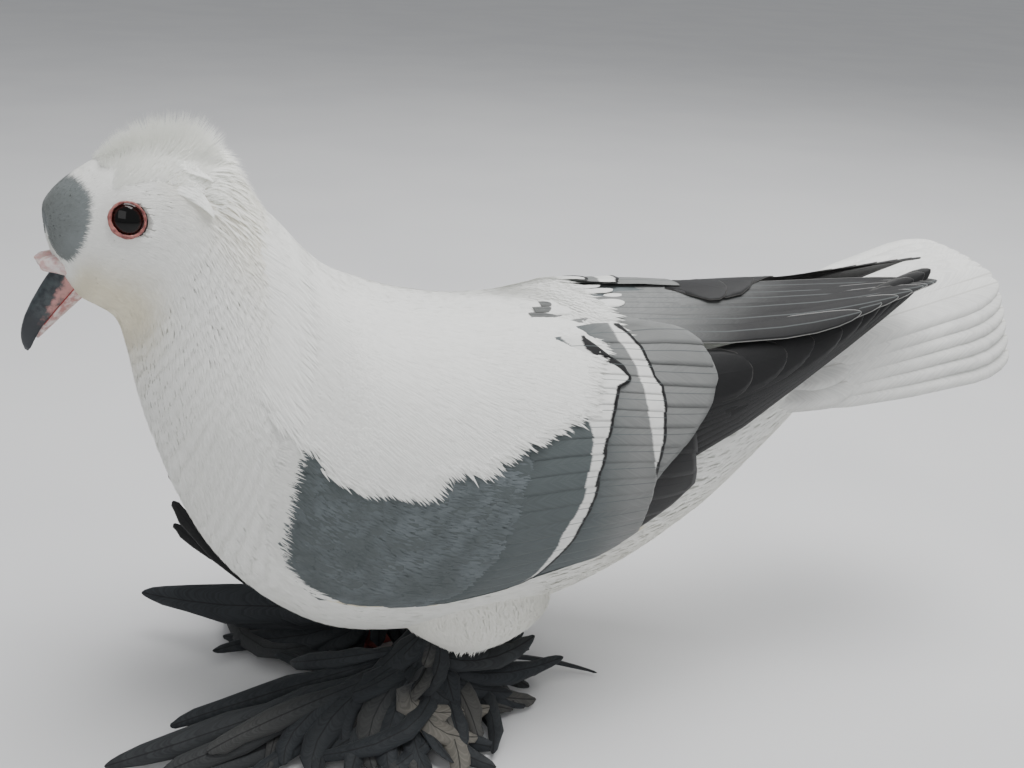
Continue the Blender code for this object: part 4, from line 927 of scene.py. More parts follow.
def vane_material(name, base, shaft_colour, rim_colour, rim_mm=0.0, streak=0.3, barb=0.7, shaft_width=0.35,
                  rough=0.62, dark_end=None, pale_end=None, banded=None):
    """Feather vanes: barbs, shaft and rim, with a darker free end or white bands edged in black."""
    made, tree, shader = new_material(name, Roughness=rough, Sheen_Weight=0.08, Specular_IOR_Level=0.22)
    group = node(tree, "ShaderNodeGroup", node_tree=vane_group())
    group.inputs["Barb Size"].default_value = barb
    group.inputs["Shaft Width"].default_value = shaft_width
    out = group.outputs
    colour = rgba(base)
    if dark_end:
        far, reach = dark_end
        colour = blend_colour(tree, smooth_step(tree, held(tree, "rear"), reach[0], reach[1]), colour, rgba(far))
    if pale_end:
        each = smooth_step(tree, held(tree, "tuft"), 0.25, 1.0)
        reach = smooth_step(tree, held(tree, "along"), 0.1, 0.6)
        colour = blend_colour(tree, calc(tree, "MULTIPLY", each, reach), colour, rgba(pale_end))
    pale = blend_colour(tree, 1.0, colour, (1.25, 1.25, 1.25, 1.0), "MULTIPLY")
    deep = blend_colour(tree, 1.0, colour, (0.72, 0.72, 0.74, 1.0), "MULTIPLY")
    streaked = blend_colour(tree, smooth_step(tree, out["Shade"], 0.35, 0.65), deep, pale)
    shade = blend_colour(tree, min(1.0, streak * 2.0), colour, streaked)
    patch = object_noise(tree, 8.0)
    shade = blend_colour(tree, smooth_step(tree, patch, 0.35, 0.7, 0.0, 0.25), shade, pale)
    if banded:
        white, black, edge = banded
        band = held(tree, "band")
        ragged = out["Ragged Way"]
        tone = blend_colour(tree, smooth_step(tree, object_noise(tree, 3.0), 0.35, 0.7, 0.0, 0.25), rgba(white),
                            (0.55, 0.56, 0.56, 1.0))
        shade = blend_colour(tree, smooth_step(tree, calc(tree, "SUBTRACT", band, ragged), -0.35, 0.35), shade, tone)
        black_mm = calc(tree, "MULTIPLY", held(tree, "edged"), edge)
        line = smooth_step(tree, calc(tree, "SUBTRACT", ragged, black_mm), -0.3, 0.15, 1.0, 0.0)
        shade = blend_colour(tree, line, shade, rgba(black))
    if rim_mm:
        rim = smooth_step(tree, out["Rim"], rim_mm * 0.5, rim_mm * 1.3, 1.0, 0.0)
        shade = blend_colour(tree, rim, shade, rgba(rim_colour))
    shade = blend_colour(tree, calc(tree, "MULTIPLY", out["Shaft"], 0.75), shade, rgba(shaft_colour))
    tree.links.new(shade, shader.inputs["Base Color"])
    bump(tree, shader, out["Height"], 0.3, 0.08)
    return made


def skin_material(name, base, second, size_mm, rough=0.5, depth=0.3, powder=0.0):
    """Bare skin or horn: two tones in soft patches, with fine pores or ridges."""
    made, tree, shader = new_material(name, Roughness=rough, Subsurface_Weight=powder, Subsurface_Scale=MM)
    patch = object_noise(tree, size_mm, 4.0)
    fine = object_noise(tree, size_mm * 0.2, 3.0)
    shade = blend_colour(tree, smooth_step(tree, patch, 0.35, 0.65), rgba(base), rgba(second))
    tree.links.new(shade, shader.inputs["Base Color"])
    tree.links.new(smooth_step(tree, fine, 0.2, 0.8, rough - 0.08, rough + 0.1), shader.inputs["Roughness"])
    bump(tree, shader, calc(tree, "MULTIPLY_ADD", patch, 0.6, fine), depth, 0.15)
    return made


def lofted(name, rings, material):
    """A smooth closed body from rings of points: a grid drawn onto them, joined where it meets, and capped."""
    rows, sides = len(rings), len(rings[0])
    work = bmesh.new()
    bmesh.ops.create_grid(work, x_segments=rows - 1, y_segments=sides, size=1.0)
    spots = sorted(work.verts, key=lambda v: (round(v.co.x, 4), round(v.co.y, 4)))
    for k, vertex in enumerate(spots):
        vertex.co = rings[k // (sides + 1)][k % (sides + 1) % sides]
    bmesh.ops.remove_doubles(work, verts=work.verts, dist=1e-6)
    holes = [edge for edge in work.edges if edge.is_boundary]
    if holes:
        bmesh.ops.holes_fill(work, edges=holes, sides=0)
        bmesh.ops.poke(work, faces=[face for face in work.faces if len(face.verts) > 4])
    outward(work)
    return from_work(name, work, material)


def settled(rings, side=LEFT, pose=True):
    return [settle(ring, side, pose) for ring in rings]


def mark_mesh(made, marks, along=0.6):
    """Writes the marks on a body, and the values that strands have."""
    level = np.full(len(made.data.vertices), along)
    write_points(made.data, marks, {"along": level, "tuft": level})


def mesh_points(mesh):
    points = np.zeros(len(mesh.vertices) * 3, np.float32)
    mesh.vertices.foreach_get("co", points)
    return points.reshape(-1, 3).astype(float)


def join(made, others):
    """Joins closed meshes to one by a Boolean, and removes them."""
    for other in others:
        step = made.modifiers.new("join", "BOOLEAN")
        step.operation = "UNION"
        step.object = other
        step.solver = "EXACT"
    bpy.context.view_layer.update()
    graph = bpy.context.evaluated_depsgraph_get()
    mesh = bpy.data.meshes.new_from_object(made.evaluated_get(graph))
    finish = made.data.materials[0]
    made.modifiers.clear()
    made.data = mesh
    mesh.materials.clear()
    mesh.materials.append(finish)
    mesh.shade_smooth()
    for other in others:
        bpy.data.objects.remove(other)
    return made


def skin_depth(t):
    """How deep the skin lies under the coat, less over the face."""
    return SKIN_DEPTH * (1.0 - 0.7 * rise(t, 16.5, 19.5))


def skin_rings(sides=96):
    """Rings of the skin, from the tail to the brow."""
    angles = full_turn(sides)
    places = np.concatenate([np.linspace(0.0, 16.0, 90), np.linspace(16.0, 20.0, 36)[1:]])
    return [BODY.point(np.full(sides, t), angles, -skin_depth(t))[0] for t in places]


LEG_ROWS = [
    (26.0, 9.0, 7.0, 2.0), (29.0, 14.0, 10.5, 4.0), (33.0, 21.0, 13.0, 4.5), (38.0, 25.5, 14.0, 4.5),
    (46.0, 27.0, 14.0, 3.5), (58.0, 25.0, 12.0, 4.0),
]


def leg_point(side, z, turn, out=0.0):
    """A point on a feathered leg at a height and a turn from the rear, before the mirror of the right side."""
    rows = np.array(LEG_ROWS)
    long_, wide, ahead = (np.interp(z, rows[:, 0], rows[:, k]) for k in (1, 2, 3))
    x = FOOT_X[side] + 9.0 + ahead + (long_ + out) * np.cos(turn)
    y = -FOOT_Y - 3.0 + (wide + out) * np.sin(turn)
    return np.stack(np.broadcast_arrays(x, y, np.asarray(z, float)), -1)


def sizes():
    return bpy.context.scene.pigeon_sizes


def looks():
    return bpy.context.scene.pigeon_looks


def glowing_white(name="white_plumage_glowing", root_shade=0.95, share=1.0):
    """White plumage with a painted glow: an emission that lightens its shaded parts."""
    made = bpy.data.materials.get(name) or plumage_material(name, looks(), root_shade)
    shader = made.node_tree.nodes["Principled BSDF"]
    shader.inputs["Emission Color"].default_value = (0.97, 1.0, 0.94, 1.0)
    shader.inputs["Emission Strength"].default_value = sizes().painted_glow * share
    return made


# The coat's white, with a fainter share of the same painted glow.
def faint_glowing_white():
    return glowing_white("faint_glowing_white", 0.9, 0.4)


def make_skin():
    """One skin over body, neck, head and legs, inside the coat."""
    material = plumage_material("plumage_skin", looks(), 0.8)
    made = lofted("skin", settled(skin_rings()), material)
    legs = []
    turns = full_turn(32)
    for side, name in SIDES:
        rings = [leg_point(side, z, turns, -1.2) for z in np.linspace(25.0, 56.0, 18)]
        legs.append(lofted("leg_skin_" + name, settled(rings, side, False), material))
    join(made, legs)
    t, a = np.meshgrid(np.linspace(0.0, 20.0, 160), np.linspace(-math.pi, math.pi, 120, endpoint=False), indexing="ij")
    t, a = t.ravel(), a.ravel()
    table = settle(BODY.point(t, a, -SKIN_DEPTH)[0])
    tree = KDTree(len(table))
    for k, point in enumerate(table):
        tree.insert(point, k)
    tree.balance()
    nearest = [tree.find(point)[1] for point in mesh_points(made.data)]
    mark_mesh(made, body_marks(t[nearest], a[nearest]))
    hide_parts("torso", "neck", "head", "leg_left", "leg_right", "tail")
    return made


# Zones of the coat: strands, from t, to t, from the angle, to the angle, lock, pull, tier.
COAT_ZONES = [
    ("coat_rump", 9000, 0.0, 5.0, 0.0, 3.1416, 3.4, 0.3, 0.0),
    ("coat_back", 9000, 4.6, 9.4, 0.0, 1.3, 3.4, 0.1, 0.0),
    ("coat_belly", 14000, 4.6, 8.2, 1.3, 3.1416, 3.4, 0.3, 0.0),
    ("coat_breast", 16000, 8.0, 10.8, 0.9, 3.1416, 3.4, 0.1, 4.0),
    ("coat_neck", 19000, 9.2, 14.3, 0.0, 3.1416, 3.0, 0.1, 3.4),
    ("coat_cheek", 16000, 13.7, 17.2, 0.0, 3.1416, 2.4, 0.0, 0.0),
    ("coat_face", 12500, 16.7, 19.9, 0.0, 3.1416, 2.0, 0.0, 0.0),
]
LENGTH_T = (0.0, 3.0, 8.0, 11.0, 13.0, 14.5, 16.0, 17.0, 18.0, 19.0, 20.0)
STRAND_LENGTH = (10.0, 9.5, 9.0, 8.0, 7.0, 5.5, 4.2, 3.2, 2.4, 1.8, 1.3)
STRAND_WIDTH = (1.3, 1.2, 1.1, 0.95, 0.85, 0.75, 0.65, 0.55, 0.45, 0.36, 0.28)
STRAND_LIFT = (0.3, 0.3, 0.3, 0.38, 0.4, 0.2, 0.06, 0.04, 0.03, 0.03, 0.03)


def make_coat():
    """The plumage of body, neck and head, as strands in locks that follow the lie."""
    for k, (name, count, t_from, t_to, a_from, a_to, lock, pull, tier) in enumerate(COAT_ZONES):
        half = count // 2
        right = scatter_body(half, 11 + 2 * k, (t_from, t_to), (a_from, a_to))
        left = scatter_body(half, 12 + 2 * k, (t_from, t_to), (a_from, a_to)) * (1.0, -1.0)
        places = np.concatenate([right, left])
        t, a = places.T
        keep = ~near_eye(t, a, EYE_CLEAR) & ~under_wing(t, a)
        places = places[keep]
        t, a = places.T
        length = np.interp(t, LENGTH_T, STRAND_LENGTH)
        width = np.interp(t, LENGTH_T, STRAND_WIDTH)
        lift = np.interp(t, LENGTH_T, STRAND_LIFT)
        shape, tuft = body_strands(places, length, width, lift, lock, pull, 40 + k, depth=skin_depth(t), tier=tier)
        strand_piece(name, shape, tuft, unwrap_body(t, a), body_marks(t, a))


def make_vent():
    """Soft strands that close the body behind, round the root of the tail."""
    draw = np.random.default_rng(55)
    count = VENT_STRANDS
    a = draw.uniform(-math.pi, math.pi, count)
    far = np.sqrt(draw.random(count))
    edge = BODY.surface(np.zeros(count), a)
    middle = BODY.surface(np.zeros(64), np.linspace(-math.pi, math.pi, 64, endpoint=False)).mean(0)
    root = middle + (edge - middle) * (far * 0.97)[:, None] - (1.5, 0.0, 0.0)
    length = draw.uniform(9.0, 15.0, count) * (1.2 - 0.5 * far)
    inward = unit(middle - edge)
    tip = root + np.array([0.96, 0.0, 0.2]) * length[:, None] + inward * (0.3 * length * far)[:, None]
    control = (root + tip) / 2.0 - inward * (0.15 * length)[:, None]
    shape = curved_strands(root, control, tip, -inward, draw.uniform(0.8, 1.4, count), 0.06)
    strand_piece("coat_vent", shape, draw.random(count), unwrap_body(0.3 * far, a), start=MIDWAY)


def make_legs():
    """White thigh plumage that hangs over the muffs."""
    for side, name in SIDES:
        places = spread(THIGH_STRANDS, 61 + side, (29.0, 0.0), (56.0, 2.0 * math.pi))
        draw = np.random.default_rng(62 + side)
        z, turn = places.T
        length = draw.uniform(5.0, 9.0, len(z)) * (0.6 + 0.4 * rise(z, 29.0, 38.0))
        lines = []
        for u, out in ((0.0, -1.6), (0.5, 0.2), (1.0, 0.8)):
            lines.append(leg_point(side, z - length * u, turn + draw.normal(0, 0.05, len(z)) * u,
                                   out * draw.uniform(0.6, 1.6, len(z)) if u else out))
        lines = np.stack(lines, 1)
        ups = unit(leg_point(side, z, turn, 2.0) - leg_point(side, z, turn))[:, None, :]
        widths = np.broadcast_to(draw.uniform(0.6, 1.0, (len(z), 1)), (len(z), 2))
        shape = blades(lines, ups, widths, 0.07)
        grey = 0.5 * (1.0 - rise(z, 29.0, 33.0)) * (np.cos(turn) > 0.2)
        marks = np.stack([grey, 0.15 + 0 * z, 0 * z], -1)
        patches = np.stack([turn / 6.3, z / 60.0], -1) * 0.9
        strand_piece("thigh_" + name, shape, draw.random(len(z)), patches, marks, side=side, pose=False)


# The crest's height over the crown, and how far its strands lean back: t, millimetres, radians.
CREST_T = (13.8, 14.2, 14.5, 15.0, 15.5, 16.0, 16.5, 17.0)
CREST_HIGH = (6.0, 9.5, 11.8, 10.8, 8.6, 6.2, 3.4, 0.8)
CREST_LEAN = (0.5, 0.35, 0.15, 0.05, -0.05, -0.15, -0.2, 0.0)


def curved_strands(root, control, tip, up, width, ridge=0.12):
    """Strands of four places along quadratic curves."""
    shares = np.array([0.0, 0.35, 0.7, 1.0])[None, :, None]
    lines = root[:, None] * (1 - shares) ** 2 + 2 * control[:, None] * shares * (1 - shares) + tip[:, None] * shares**2
    return blades(lines, up[:, None, :], np.stack([width, width, width * 0.7], 1), ridge)


def make_crest():
    """The shell behind the crown: a soft upright fan, whose near side the crown's strands sweep up to."""
    draw = np.random.default_rng(71)
    count = sizes().crest_strands
    t = draw.uniform(14.0, 17.0, count)
    angle = draw.uniform(-0.95, 0.95, count)
    inner = 1.0 - np.abs(angle) / 0.95
    sweep = rise(np.abs(angle), 0.22, 0.6)
    t = t - 0.3 * (1.0 - inner) ** 2 * (1.0 - rise(t, 15.0, 16.5))
    root, normal = BODY.point(t, angle, np.full(count, -1.0))
    back = unit(BODY.surface(t - 0.4, angle) - BODY.surface(t, angle))
    inward = unit(BODY.surface(t, angle * 0.8) - BODY.surface(t, angle))
    lock = np.round(angle * 7.0 + t * 2.6) * 1.7
    lean = np.interp(t, CREST_T, CREST_LEAN) + 0.07 * np.sin(lock) + draw.normal(0, 0.07, count)
    high = np.interp(t, CREST_T, CREST_HIGH) * draw.uniform(0.62, 1.04, count) * (0.25 + 0.75 * rise(inner, 0.0, 0.75))
    lean = lean * (1.0 - sweep) + 1.15 * sweep
    reach = (high * (1.0 - sweep) + 6.0 * sweep * draw.uniform(0.7, 1.05, count)) + 1.0
    drawn = 0.35 * sweep * (1.0 - rise(t, 16.0, 17.0))
    tilt = 0.14 * angle * (1.0 - sweep)
    way = normal * np.cos(lean)[:, None] + back * np.sin(lean)[:, None]
    way = way + inward * (drawn - tilt * np.sign(angle))[:, None]
    tip = root + unit(way) * reach[:, None]
    flat = lean + 0.45 * sweep
    start = unit(normal * np.cos(flat)[:, None] + back * np.sin(flat)[:, None])
    control = root + start * (reach * 0.5)[:, None]
    up = -back * np.cos(lean)[:, None] + normal * np.sin(lean)[:, None]
    shape = curved_strands(root, control, tip, up, draw.uniform(0.28, 0.5, count) * (1.0 + 0.6 * sweep), 0.06)
    # The crest's strands carry the full painted glow, which lightens their shade.
    strand_piece("crest", shape, draw.random(count), unwrap_body(t, angle), start=0.6, material=glowing_white())
    for side, name in SIDES:
        ear_locks(side, name)


EAR_LOCKS = [(15.3, 0.62, 13.95, 0.74), (15.1, 0.98, 13.5, 1.06)]


def ear_locks(side, name):
    """Two pointed locks behind the ear, whose lower edges stand off the neck."""
    draw = np.random.default_rng(76 + side)
    each = EAR_STRANDS
    parts = []
    for t0, a0, t1, a1 in EAR_LOCKS:
        way = draw.random(each) ** 0.8
        above = draw.random(each) ** 1.3
        narrow = 1.0 - 0.75 * way
        t = t0 + (t1 - t0) * way * 0.6
        a = a0 + (a1 - a0) * way * 0.6 - 0.5 * above * narrow
        t_end = t + (t1 - t0) * (0.42 + 0.1 * draw.random(each))
        a_end = a1 - 0.34 * above * (1.0 - 0.8 * np.clip((t0 - t_end) / (t0 - t1), 0.0, 1.0))
        a_end = np.where(t_end > t1 + 0.4, (a_end + a) / 2.0, a_end)
        high = (0.6 + 2.0 * way) * (1.0 - 0.55 * above) * draw.uniform(0.85, 1.1, each)
        root, normal = BODY.point(t, a, np.full(each, -1.0))
        control = BODY.point((t + t_end) / 2.0, (a + a_end) / 2.0, high * 0.9)[0]
        tip = BODY.point(t_end, a_end, high)[0]
        parts.append((root, control, tip, normal, t, a))
    root, control, tip, up, t, a = (np.concatenate([part[k] for part in parts]) for k in range(6))
    shape = curved_strands(root, control, tip, up, draw.uniform(0.5, 0.9, len(root)), 0.06)
    # The ear locks carry the full painted glow, which lightens their shade.
    strand_piece("ear_locks_" + name, shape, draw.random(len(t)), unwrap_body(t, a), start=0.45, material=glowing_white(),
                 side=side)


def make_mane():
    """The ragged mane down the nape, in pointed locks."""
    draw = np.random.default_rng(73)
    count = sizes().mane_strands
    low, high = SECTION["neck base"] + 0.6, SECTION["throat"] + 1.4
    share_up = draw.random(count)
    t = low + (high - low) * share_up
    place = np.clip(draw.normal(0.0, 0.4, count), -1.1, 1.1)
    row = np.round(share_up * 9.0)
    column = np.round(place * 4.0 + 0.5 * np.mod(row, 2.0)) / 4.0
    root, normal = BODY.point(t, place, np.full(count, -1.4))
    back = unit(BODY.surface(t - 0.3, place) - BODY.surface(t + 0.3, place))
    across = np.cross(normal, back)
    reach = draw.uniform(7.0, 12.0, count) * (1.0 - 0.25 * (1 - share_up))
    fall = 1.0 - np.abs(place) * 0.5
    stand = (0.6 + 2.6 * share_up) * fall * draw.uniform(0.4, 1.2, count)
    lean = (column - place) * 5.0 + draw.normal(0, 0.5, count)
    tip = root + back * reach[:, None] + normal * (stand + 1.2)[:, None] + across * lean[:, None]
    control = root + back * (reach * 0.45)[:, None] + normal * (stand * 0.8 + 1.2)[:, None]
    shape = curved_strands(root, control, tip, normal, draw.uniform(0.5, 0.9, count), 0.06)
    marks = np.stack([0 * t, 0.3 * (1 - share_up) + 0.05, 0 * t], -1)
    # The mane carries the full painted glow, which lightens its shade.
    strand_piece("mane", shape, draw.random(count), unwrap_body(t, place), marks, material=glowing_white())


def wing_cushion(side, name, material):
    """The soft form of the folded wing, under its feathers."""
    rings = []
    for place in np.linspace(-58.0, 82.0, 60):
        low = min(pad_low(place), np.interp(place, (55.0, 62.0, 72.0, 82.0), (116.0, 78.0, 60.0, 40.0)))
        s = np.linspace(12.0, low - 1.0, 46)
        sunk = 1.0 + 2.2 * (1.0 - rise(place, -58.0, -40.0)) + 2.0 * (1.0 - rise(s, 12.0, 24.0))
        ahead = 1.0 - rise(place - pad_front(s), 0.0, 4.0)
        outer = wing_point(side, place, s, np.maximum(pad_out(np.full(46, place), s) - sunk, -2.0) - 2.5 * ahead)
        rings.append(np.concatenate([outer, wing_point(side, place, s, -5.2)[::-1]]))
    made = lofted("wing_form_" + name, settled(rings, side), material)
    mark_mesh(made, np.tile(ALL_GREY, (len(made.data.vertices), 1)), 0.5)
    return made


def scale_rows(side):
    """Rows for chart_vanes: short rounded feathers that lap like tiles over the shield's front."""
    draw = np.random.default_rng(121 + side)
    rows = []
    for k, x in enumerate(np.arange(-40.0, 50.0, 6.2)):
        low = pad_low(x)
        high = white_low(x) - 7.0
        for s in np.arange(high, low - 1.0, 7.2) + 3.6 * (k % 2):
            tip_x, tip_s = x + draw.uniform(-1.4, 1.4), min(s + draw.uniform(-1.0, 1.0), low - 3.0)
            if tip_x > along_edge(MEDIAN_EDGE, tip_s) - 9.0 or tip_x < pad_front(tip_s) + 7.0:
                continue
            droop = 3.2 - 1.5 * rise(x, -40.0, 0.0)
            root_x = max(tip_x - 15.0, pad_front(tip_s) + 2.0)
            root = (root_x, tip_s - droop * (1.0 if tip_s < low - 14.0 else -0.6))
            rows.append((root, ((root_x + tip_x) / 2.0, tip_s - droop * 0.3), (tip_x, tip_s), draw.uniform(4.8, 5.6),
                         (-0.7, draw.uniform(0.12, 0.26)), 0.3))
    return rows


def shield_down(side, name, material):
    """Fine strands over the shield that soften the outlines of its feathers."""
    number = RIGHT + side
    wide = spread(SHIELD_STRANDS, 81 + number, (-56.0, 30.0), (44.0, 118.0))
    x, s = wide.T
    low = pad_low(x)
    rear = along_edge(MEDIAN_EDGE, s) - 12.0
    ahead = pad_front(s)
    keep = (s < low - 0.8) & (s > white_low(x) - 5.0) & (x < rear) & (x > ahead - 1.0)
    x, s, low = x[keep], s[keep], low[keep]
    count = len(x)
    draw = np.random.default_rng(82 + number)
    length = draw.uniform(5.0, 9.0, count) * (0.7 + 0.3 * rise(x, -50.0, -20.0))
    droop = 0.1 + 0.2 * (1.0 - rise(x, -50.0, -10.0)) + draw.normal(0, 0.05, count)
    dx, ds = length * np.cos(droop), length * np.sin(droop) * rise(low - s, 0.0, 12.0)
    shape, tuft = wing_strands(side, x, s, dx, ds, 1.3, 0.42, 0.5, 83 + number, ridge=0.05)
    strand_piece("shield_" + name, shape, tuft, unwrap_wing(x, s), ALL_GREY, 0.7, material, side)


def white_mantle(side, name):
    """White scapular plumage that hangs over the shield's upper part in a soft fringe."""
    number = RIGHT + side
    wide = spread(MANTLE_STRANDS, 91 + number, (-63.0, -4.0), (52.0, 76.0))
    x, s = wide.T
    edge = white_low(x)
    edge = edge + 1.6 * np.sin(x * 0.55) * np.sin(x * 0.21 + 1.0)
    draw = np.random.default_rng(92 + number)
    keep = s < edge - 2.0
    x, s, edge = x[keep], s[keep], edge[keep]
    count = len(x)
    fringe = 1.0 - rise(edge - s, 1.0, 7.0)
    length = draw.uniform(8.0, 12.0, count) * (1.0 - 0.5 * fringe)
    steep = rise(s, 20.0, 60.0) * (1.0 - rise(x, 0.0, 36.0))
    droop = 0.15 + 0.45 * steep + draw.normal(0, 0.05 + 0.12 * fringe, count)
    dx, ds = length * np.cos(droop), length * np.sin(droop)
    width = 1.5 - 0.95 * fringe
    tall = 0.25 + 0.5 * fringe

    def height(px, ps):
        over = 1.4 * rise(px, 8.0, 26.0) * rise(ps, 8.0, 20.0)
        return pad_out(px, ps) + over + 0.5 * rise(px, -58.0, -40.0) - 1.3 * (1.0 - rise(px, -62.0, -46.0))

    shape, tuft = wing_strands(side, x, s, dx, ds, width, tall, 1.0, 93 + number, height, ridge=0.07)
    strand_piece("mantle_" + name, shape, tuft, unwrap_wing(x, s), start=MIDWAY, side=side)


def low_edge_line(side, name):
    """A narrow line of cream plumage along the lower edge of the folded wing."""
    number = RIGHT + side
    draw = np.random.default_rng(131 + number)
    x = np.sort(draw.uniform(-42.0, 60.0, EDGE_STRANDS))
    s = pad_low(x) + draw.uniform(-1.6, 0.9, len(x))
    slope = pad_low(x + 3.0) - pad_low(x - 3.0)
    length = draw.uniform(5.0, 8.0, len(x))
    ds = slope / 6.0 * length + draw.normal(0, 0.2, len(x))

    def height(px, _):
        return np.full_like(px, 0.5)

    shape, tuft = wing_strands(side, x, s, length, ds, 0.8, 0.3, 0.8, 133 + number, height, ridge=0.1)
    strand_piece("wing_edge_" + name, shape, tuft, unwrap_wing(x, s), MOSTLY_CREAM, MIDWAY, side=side)


def breast_fringe(side, name):
    """White strands of the breast that lie over the shield's front edge."""
    number = RIGHT + side
    draw = np.random.default_rng(151 + number)
    s = np.sort(draw.uniform(62.0, 116.0, FRINGE_STRANDS))
    x = pad_front(s) - draw.uniform(1.0, 4.5, len(s)) + 3.0 * rise(s, 104.0, 116.0)
    length = draw.uniform(3.5, 6.5, len(s)) * (1.0 + 0.35 * rise(s, 96.0, 112.0))

    def height(px, ps):
        return pad_out(px, ps) * rise(px, -58.0, -48.0) + 0.1

    shape, tuft = wing_strands(side, x, s, length, draw.normal(-0.4, 0.5, len(s)), 0.6, 0.4, 1.0, 153 + number, height,
                               ridge=0.06)
    strand_piece("breast_fringe_" + name, shape, tuft, unwrap_wing(x, s), start=MIDWAY, side=side)


def vane_piece(name, shape, values, material, side=LEFT, pose=True, tones=None):
    """One joined mesh of vanes, with a number for each and the way along it."""
    count, each = shape[0].shape[:2]
    draw = np.random.default_rng(5 + len(name))
    values = dict(values)
    values["tuft"] = np.repeat(draw.random(count) if tones is None else tones, each)
    values["along"] = np.tile(shape[3], count)
    return coat_piece(name, shape, material, side, pose, values=values)


def below(edge, s_from):
    """The part of an edge below a place."""
    rows = np.array(edge)
    kept = [tuple(row) for row in rows if row[0] > s_from]
    return [(s_from, float(np.interp(s_from, rows[:, 0], rows[:, 1])))] + kept


def make_wings():
    """Folded wings: shield, coverts with two white bars, and the arm's flight feathers."""
    c = looks()
    soft_grey = plumage_material("grey_plumage_soft", c, 0.9)
    slate = vane_material("secondaries", c.secondary, c.shaft, c.secondary, streak=0.1, shaft_width=0.2)
    scale = vane_material("shield_scales", c.slate, c.slate, c.slate, streak=0.12, shaft_width=0.15)
    dark = vane_material("hand_coverts", c.charcoal, c.black, c.charcoal, streak=0.2, shaft_width=0.3, rough=0.5)
    barred = vane_material("barred_coverts", c.slate, c.slate, c.slate, streak=0.12, shaft_width=0.15,
                           banded=(c.white, c.black, sizes().bar_edge / MM),
                           dark_end=(c.secondary, (0.0, 0.16)))
    inner = vane_material("inner_vanes", c.secondary, c.shaft, c.inner_rim, rim_mm=0.3, streak=0.2, shaft_width=0.3,
                          rough=0.55, dark_end=(c.charcoal, (0.2, 0.6)))
    for side, name in SIDES:
        form = wing_cushion(side, name, soft_grey)
        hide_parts("wing_" + name)
        top = 34.0 if side == RIGHT else 0.0
        edge = HAND_COVERT_EDGE if side == LEFT else below(HAND_COVERT_EDGE, 74.0)
        shape, values = tier_sheet(side, edge, 6, 40.0, 6.0, (-0.6, 0.0), tilt=0.1, seed=6)
        vane_piece("hand_coverts_" + name, shape, values, dark, side)
        edge = SECONDARY_EDGE if side == LEFT else below(SECONDARY_EDGE, top)
        shape, values = tier_sheet(side, edge, 10, 48.0, 8.0, (-0.4, 0.9), corner=0.3, jag=0.15)
        vane_piece("secondaries_" + name, shape, values, slate, side)
        for tier, edge, band, edged, run, lifts in (
            ("greater_coverts_", GREATER_EDGE, GREATER_BAND, GREATER_EDGED, 34.0, (-0.2, 1.5)),
            ("median_coverts_", MEDIAN_EDGE, MEDIAN_BAND, MEDIAN_EDGED, 26.0, (-0.1, 1.9)),
        ):
            edge = edge if side == LEFT else below(edge, top)
            shape, values = tier_sheet(side, edge, 18, run, 6.0, lifts, band, edged, columns=9, tilt=0.1,
                                       seed=len(tier))
            vane_piece(tier + name, shape, values, barred, side)
        shape, values = chart_vanes(side, scale_rows(side), columns=7, straight=0.35, tilt=0.06, camber=0.12,
                                    height=pad_out)
        vane_piece("shield_scales_" + name, shape, values, scale, side)
        shield_down(side, name, soft_grey)
        white_mantle(side, name)
        low_edge_line(side, name)
        breast_fringe(side, name)
    make_inner_vanes(inner)


# The right wing's inner feathers, from the lowest on: root, middle and tip.
INNER_VANES = [
    ((31.0, -20.0, 132.8), (90.0, -17.0, 135.9), (144.0, -15.0, 143.0)),
    ((31.0, -17.0, 133.8), (93.0, -14.0, 136.9), (153.0, -13.0, 144.2)),
    ((31.0, -14.0, 134.9), (95.0, -11.5, 138.1), (160.0, -12.0, 145.5)),
    ((32.0, -11.0, 135.9), (98.0, -9.0, 139.0), (166.0, -11.0, 146.4)),
    ((34.0, -8.0, 136.9), (100.0, -6.5, 139.9), (171.0, -10.0, 147.1)),
    ((37.0, -4.0, 137.6), (103.0, -4.0, 140.4), (173.0, -9.5, 147.2)),
    ((41.0, 0.0, 137.9), (107.0, -2.0, 141.1), (176.0, -9.0, 147.4)),
    ((46.0, 4.0, 137.9), (111.0, 1.0, 141.5), (178.0, -8.0, 147.0)),
    ((51.0, 9.0, 137.3), (116.0, 5.0, 141.6), (179.0, -7.0, 146.7)),
]
# How much each inner feather lies over the next, how deep they all lie, and how the back falls away to the side.
INNER_LAP, INNER_SUNK, BACK_SLOPE = 0.12, 1.2, -0.022
# White feathers over their roots: the root's x and z, and the tip.
MANTLE_TIPS = [
    ((41.0, 135.9), (65.0, -4.0, 138.8)), ((41.0, 136.1), (66.0, 2.0, 139.0)),
    ((30.0, 133.2), (53.0, -12.0, 136.0)), ((28.0, 131.6), (52.0, -15.0, 134.3)),
    ((27.0, 130.3), (51.0, -19.0, 133.0)), ((29.0, 128.6), (52.0, -23.0, 131.3)),
    ((31.0, 128.3), (54.0, -27.0, 130.9)), ((27.0, 135.0), (50.0, -9.0, 137.9)),
    ((39.0, 136.7), (64.0, 5.0, 139.6)), ((37.0, 136.6), (61.0, 9.0, 139.5)),
    ((27.0, 135.8), (51.0, -4.0, 138.7)),
]


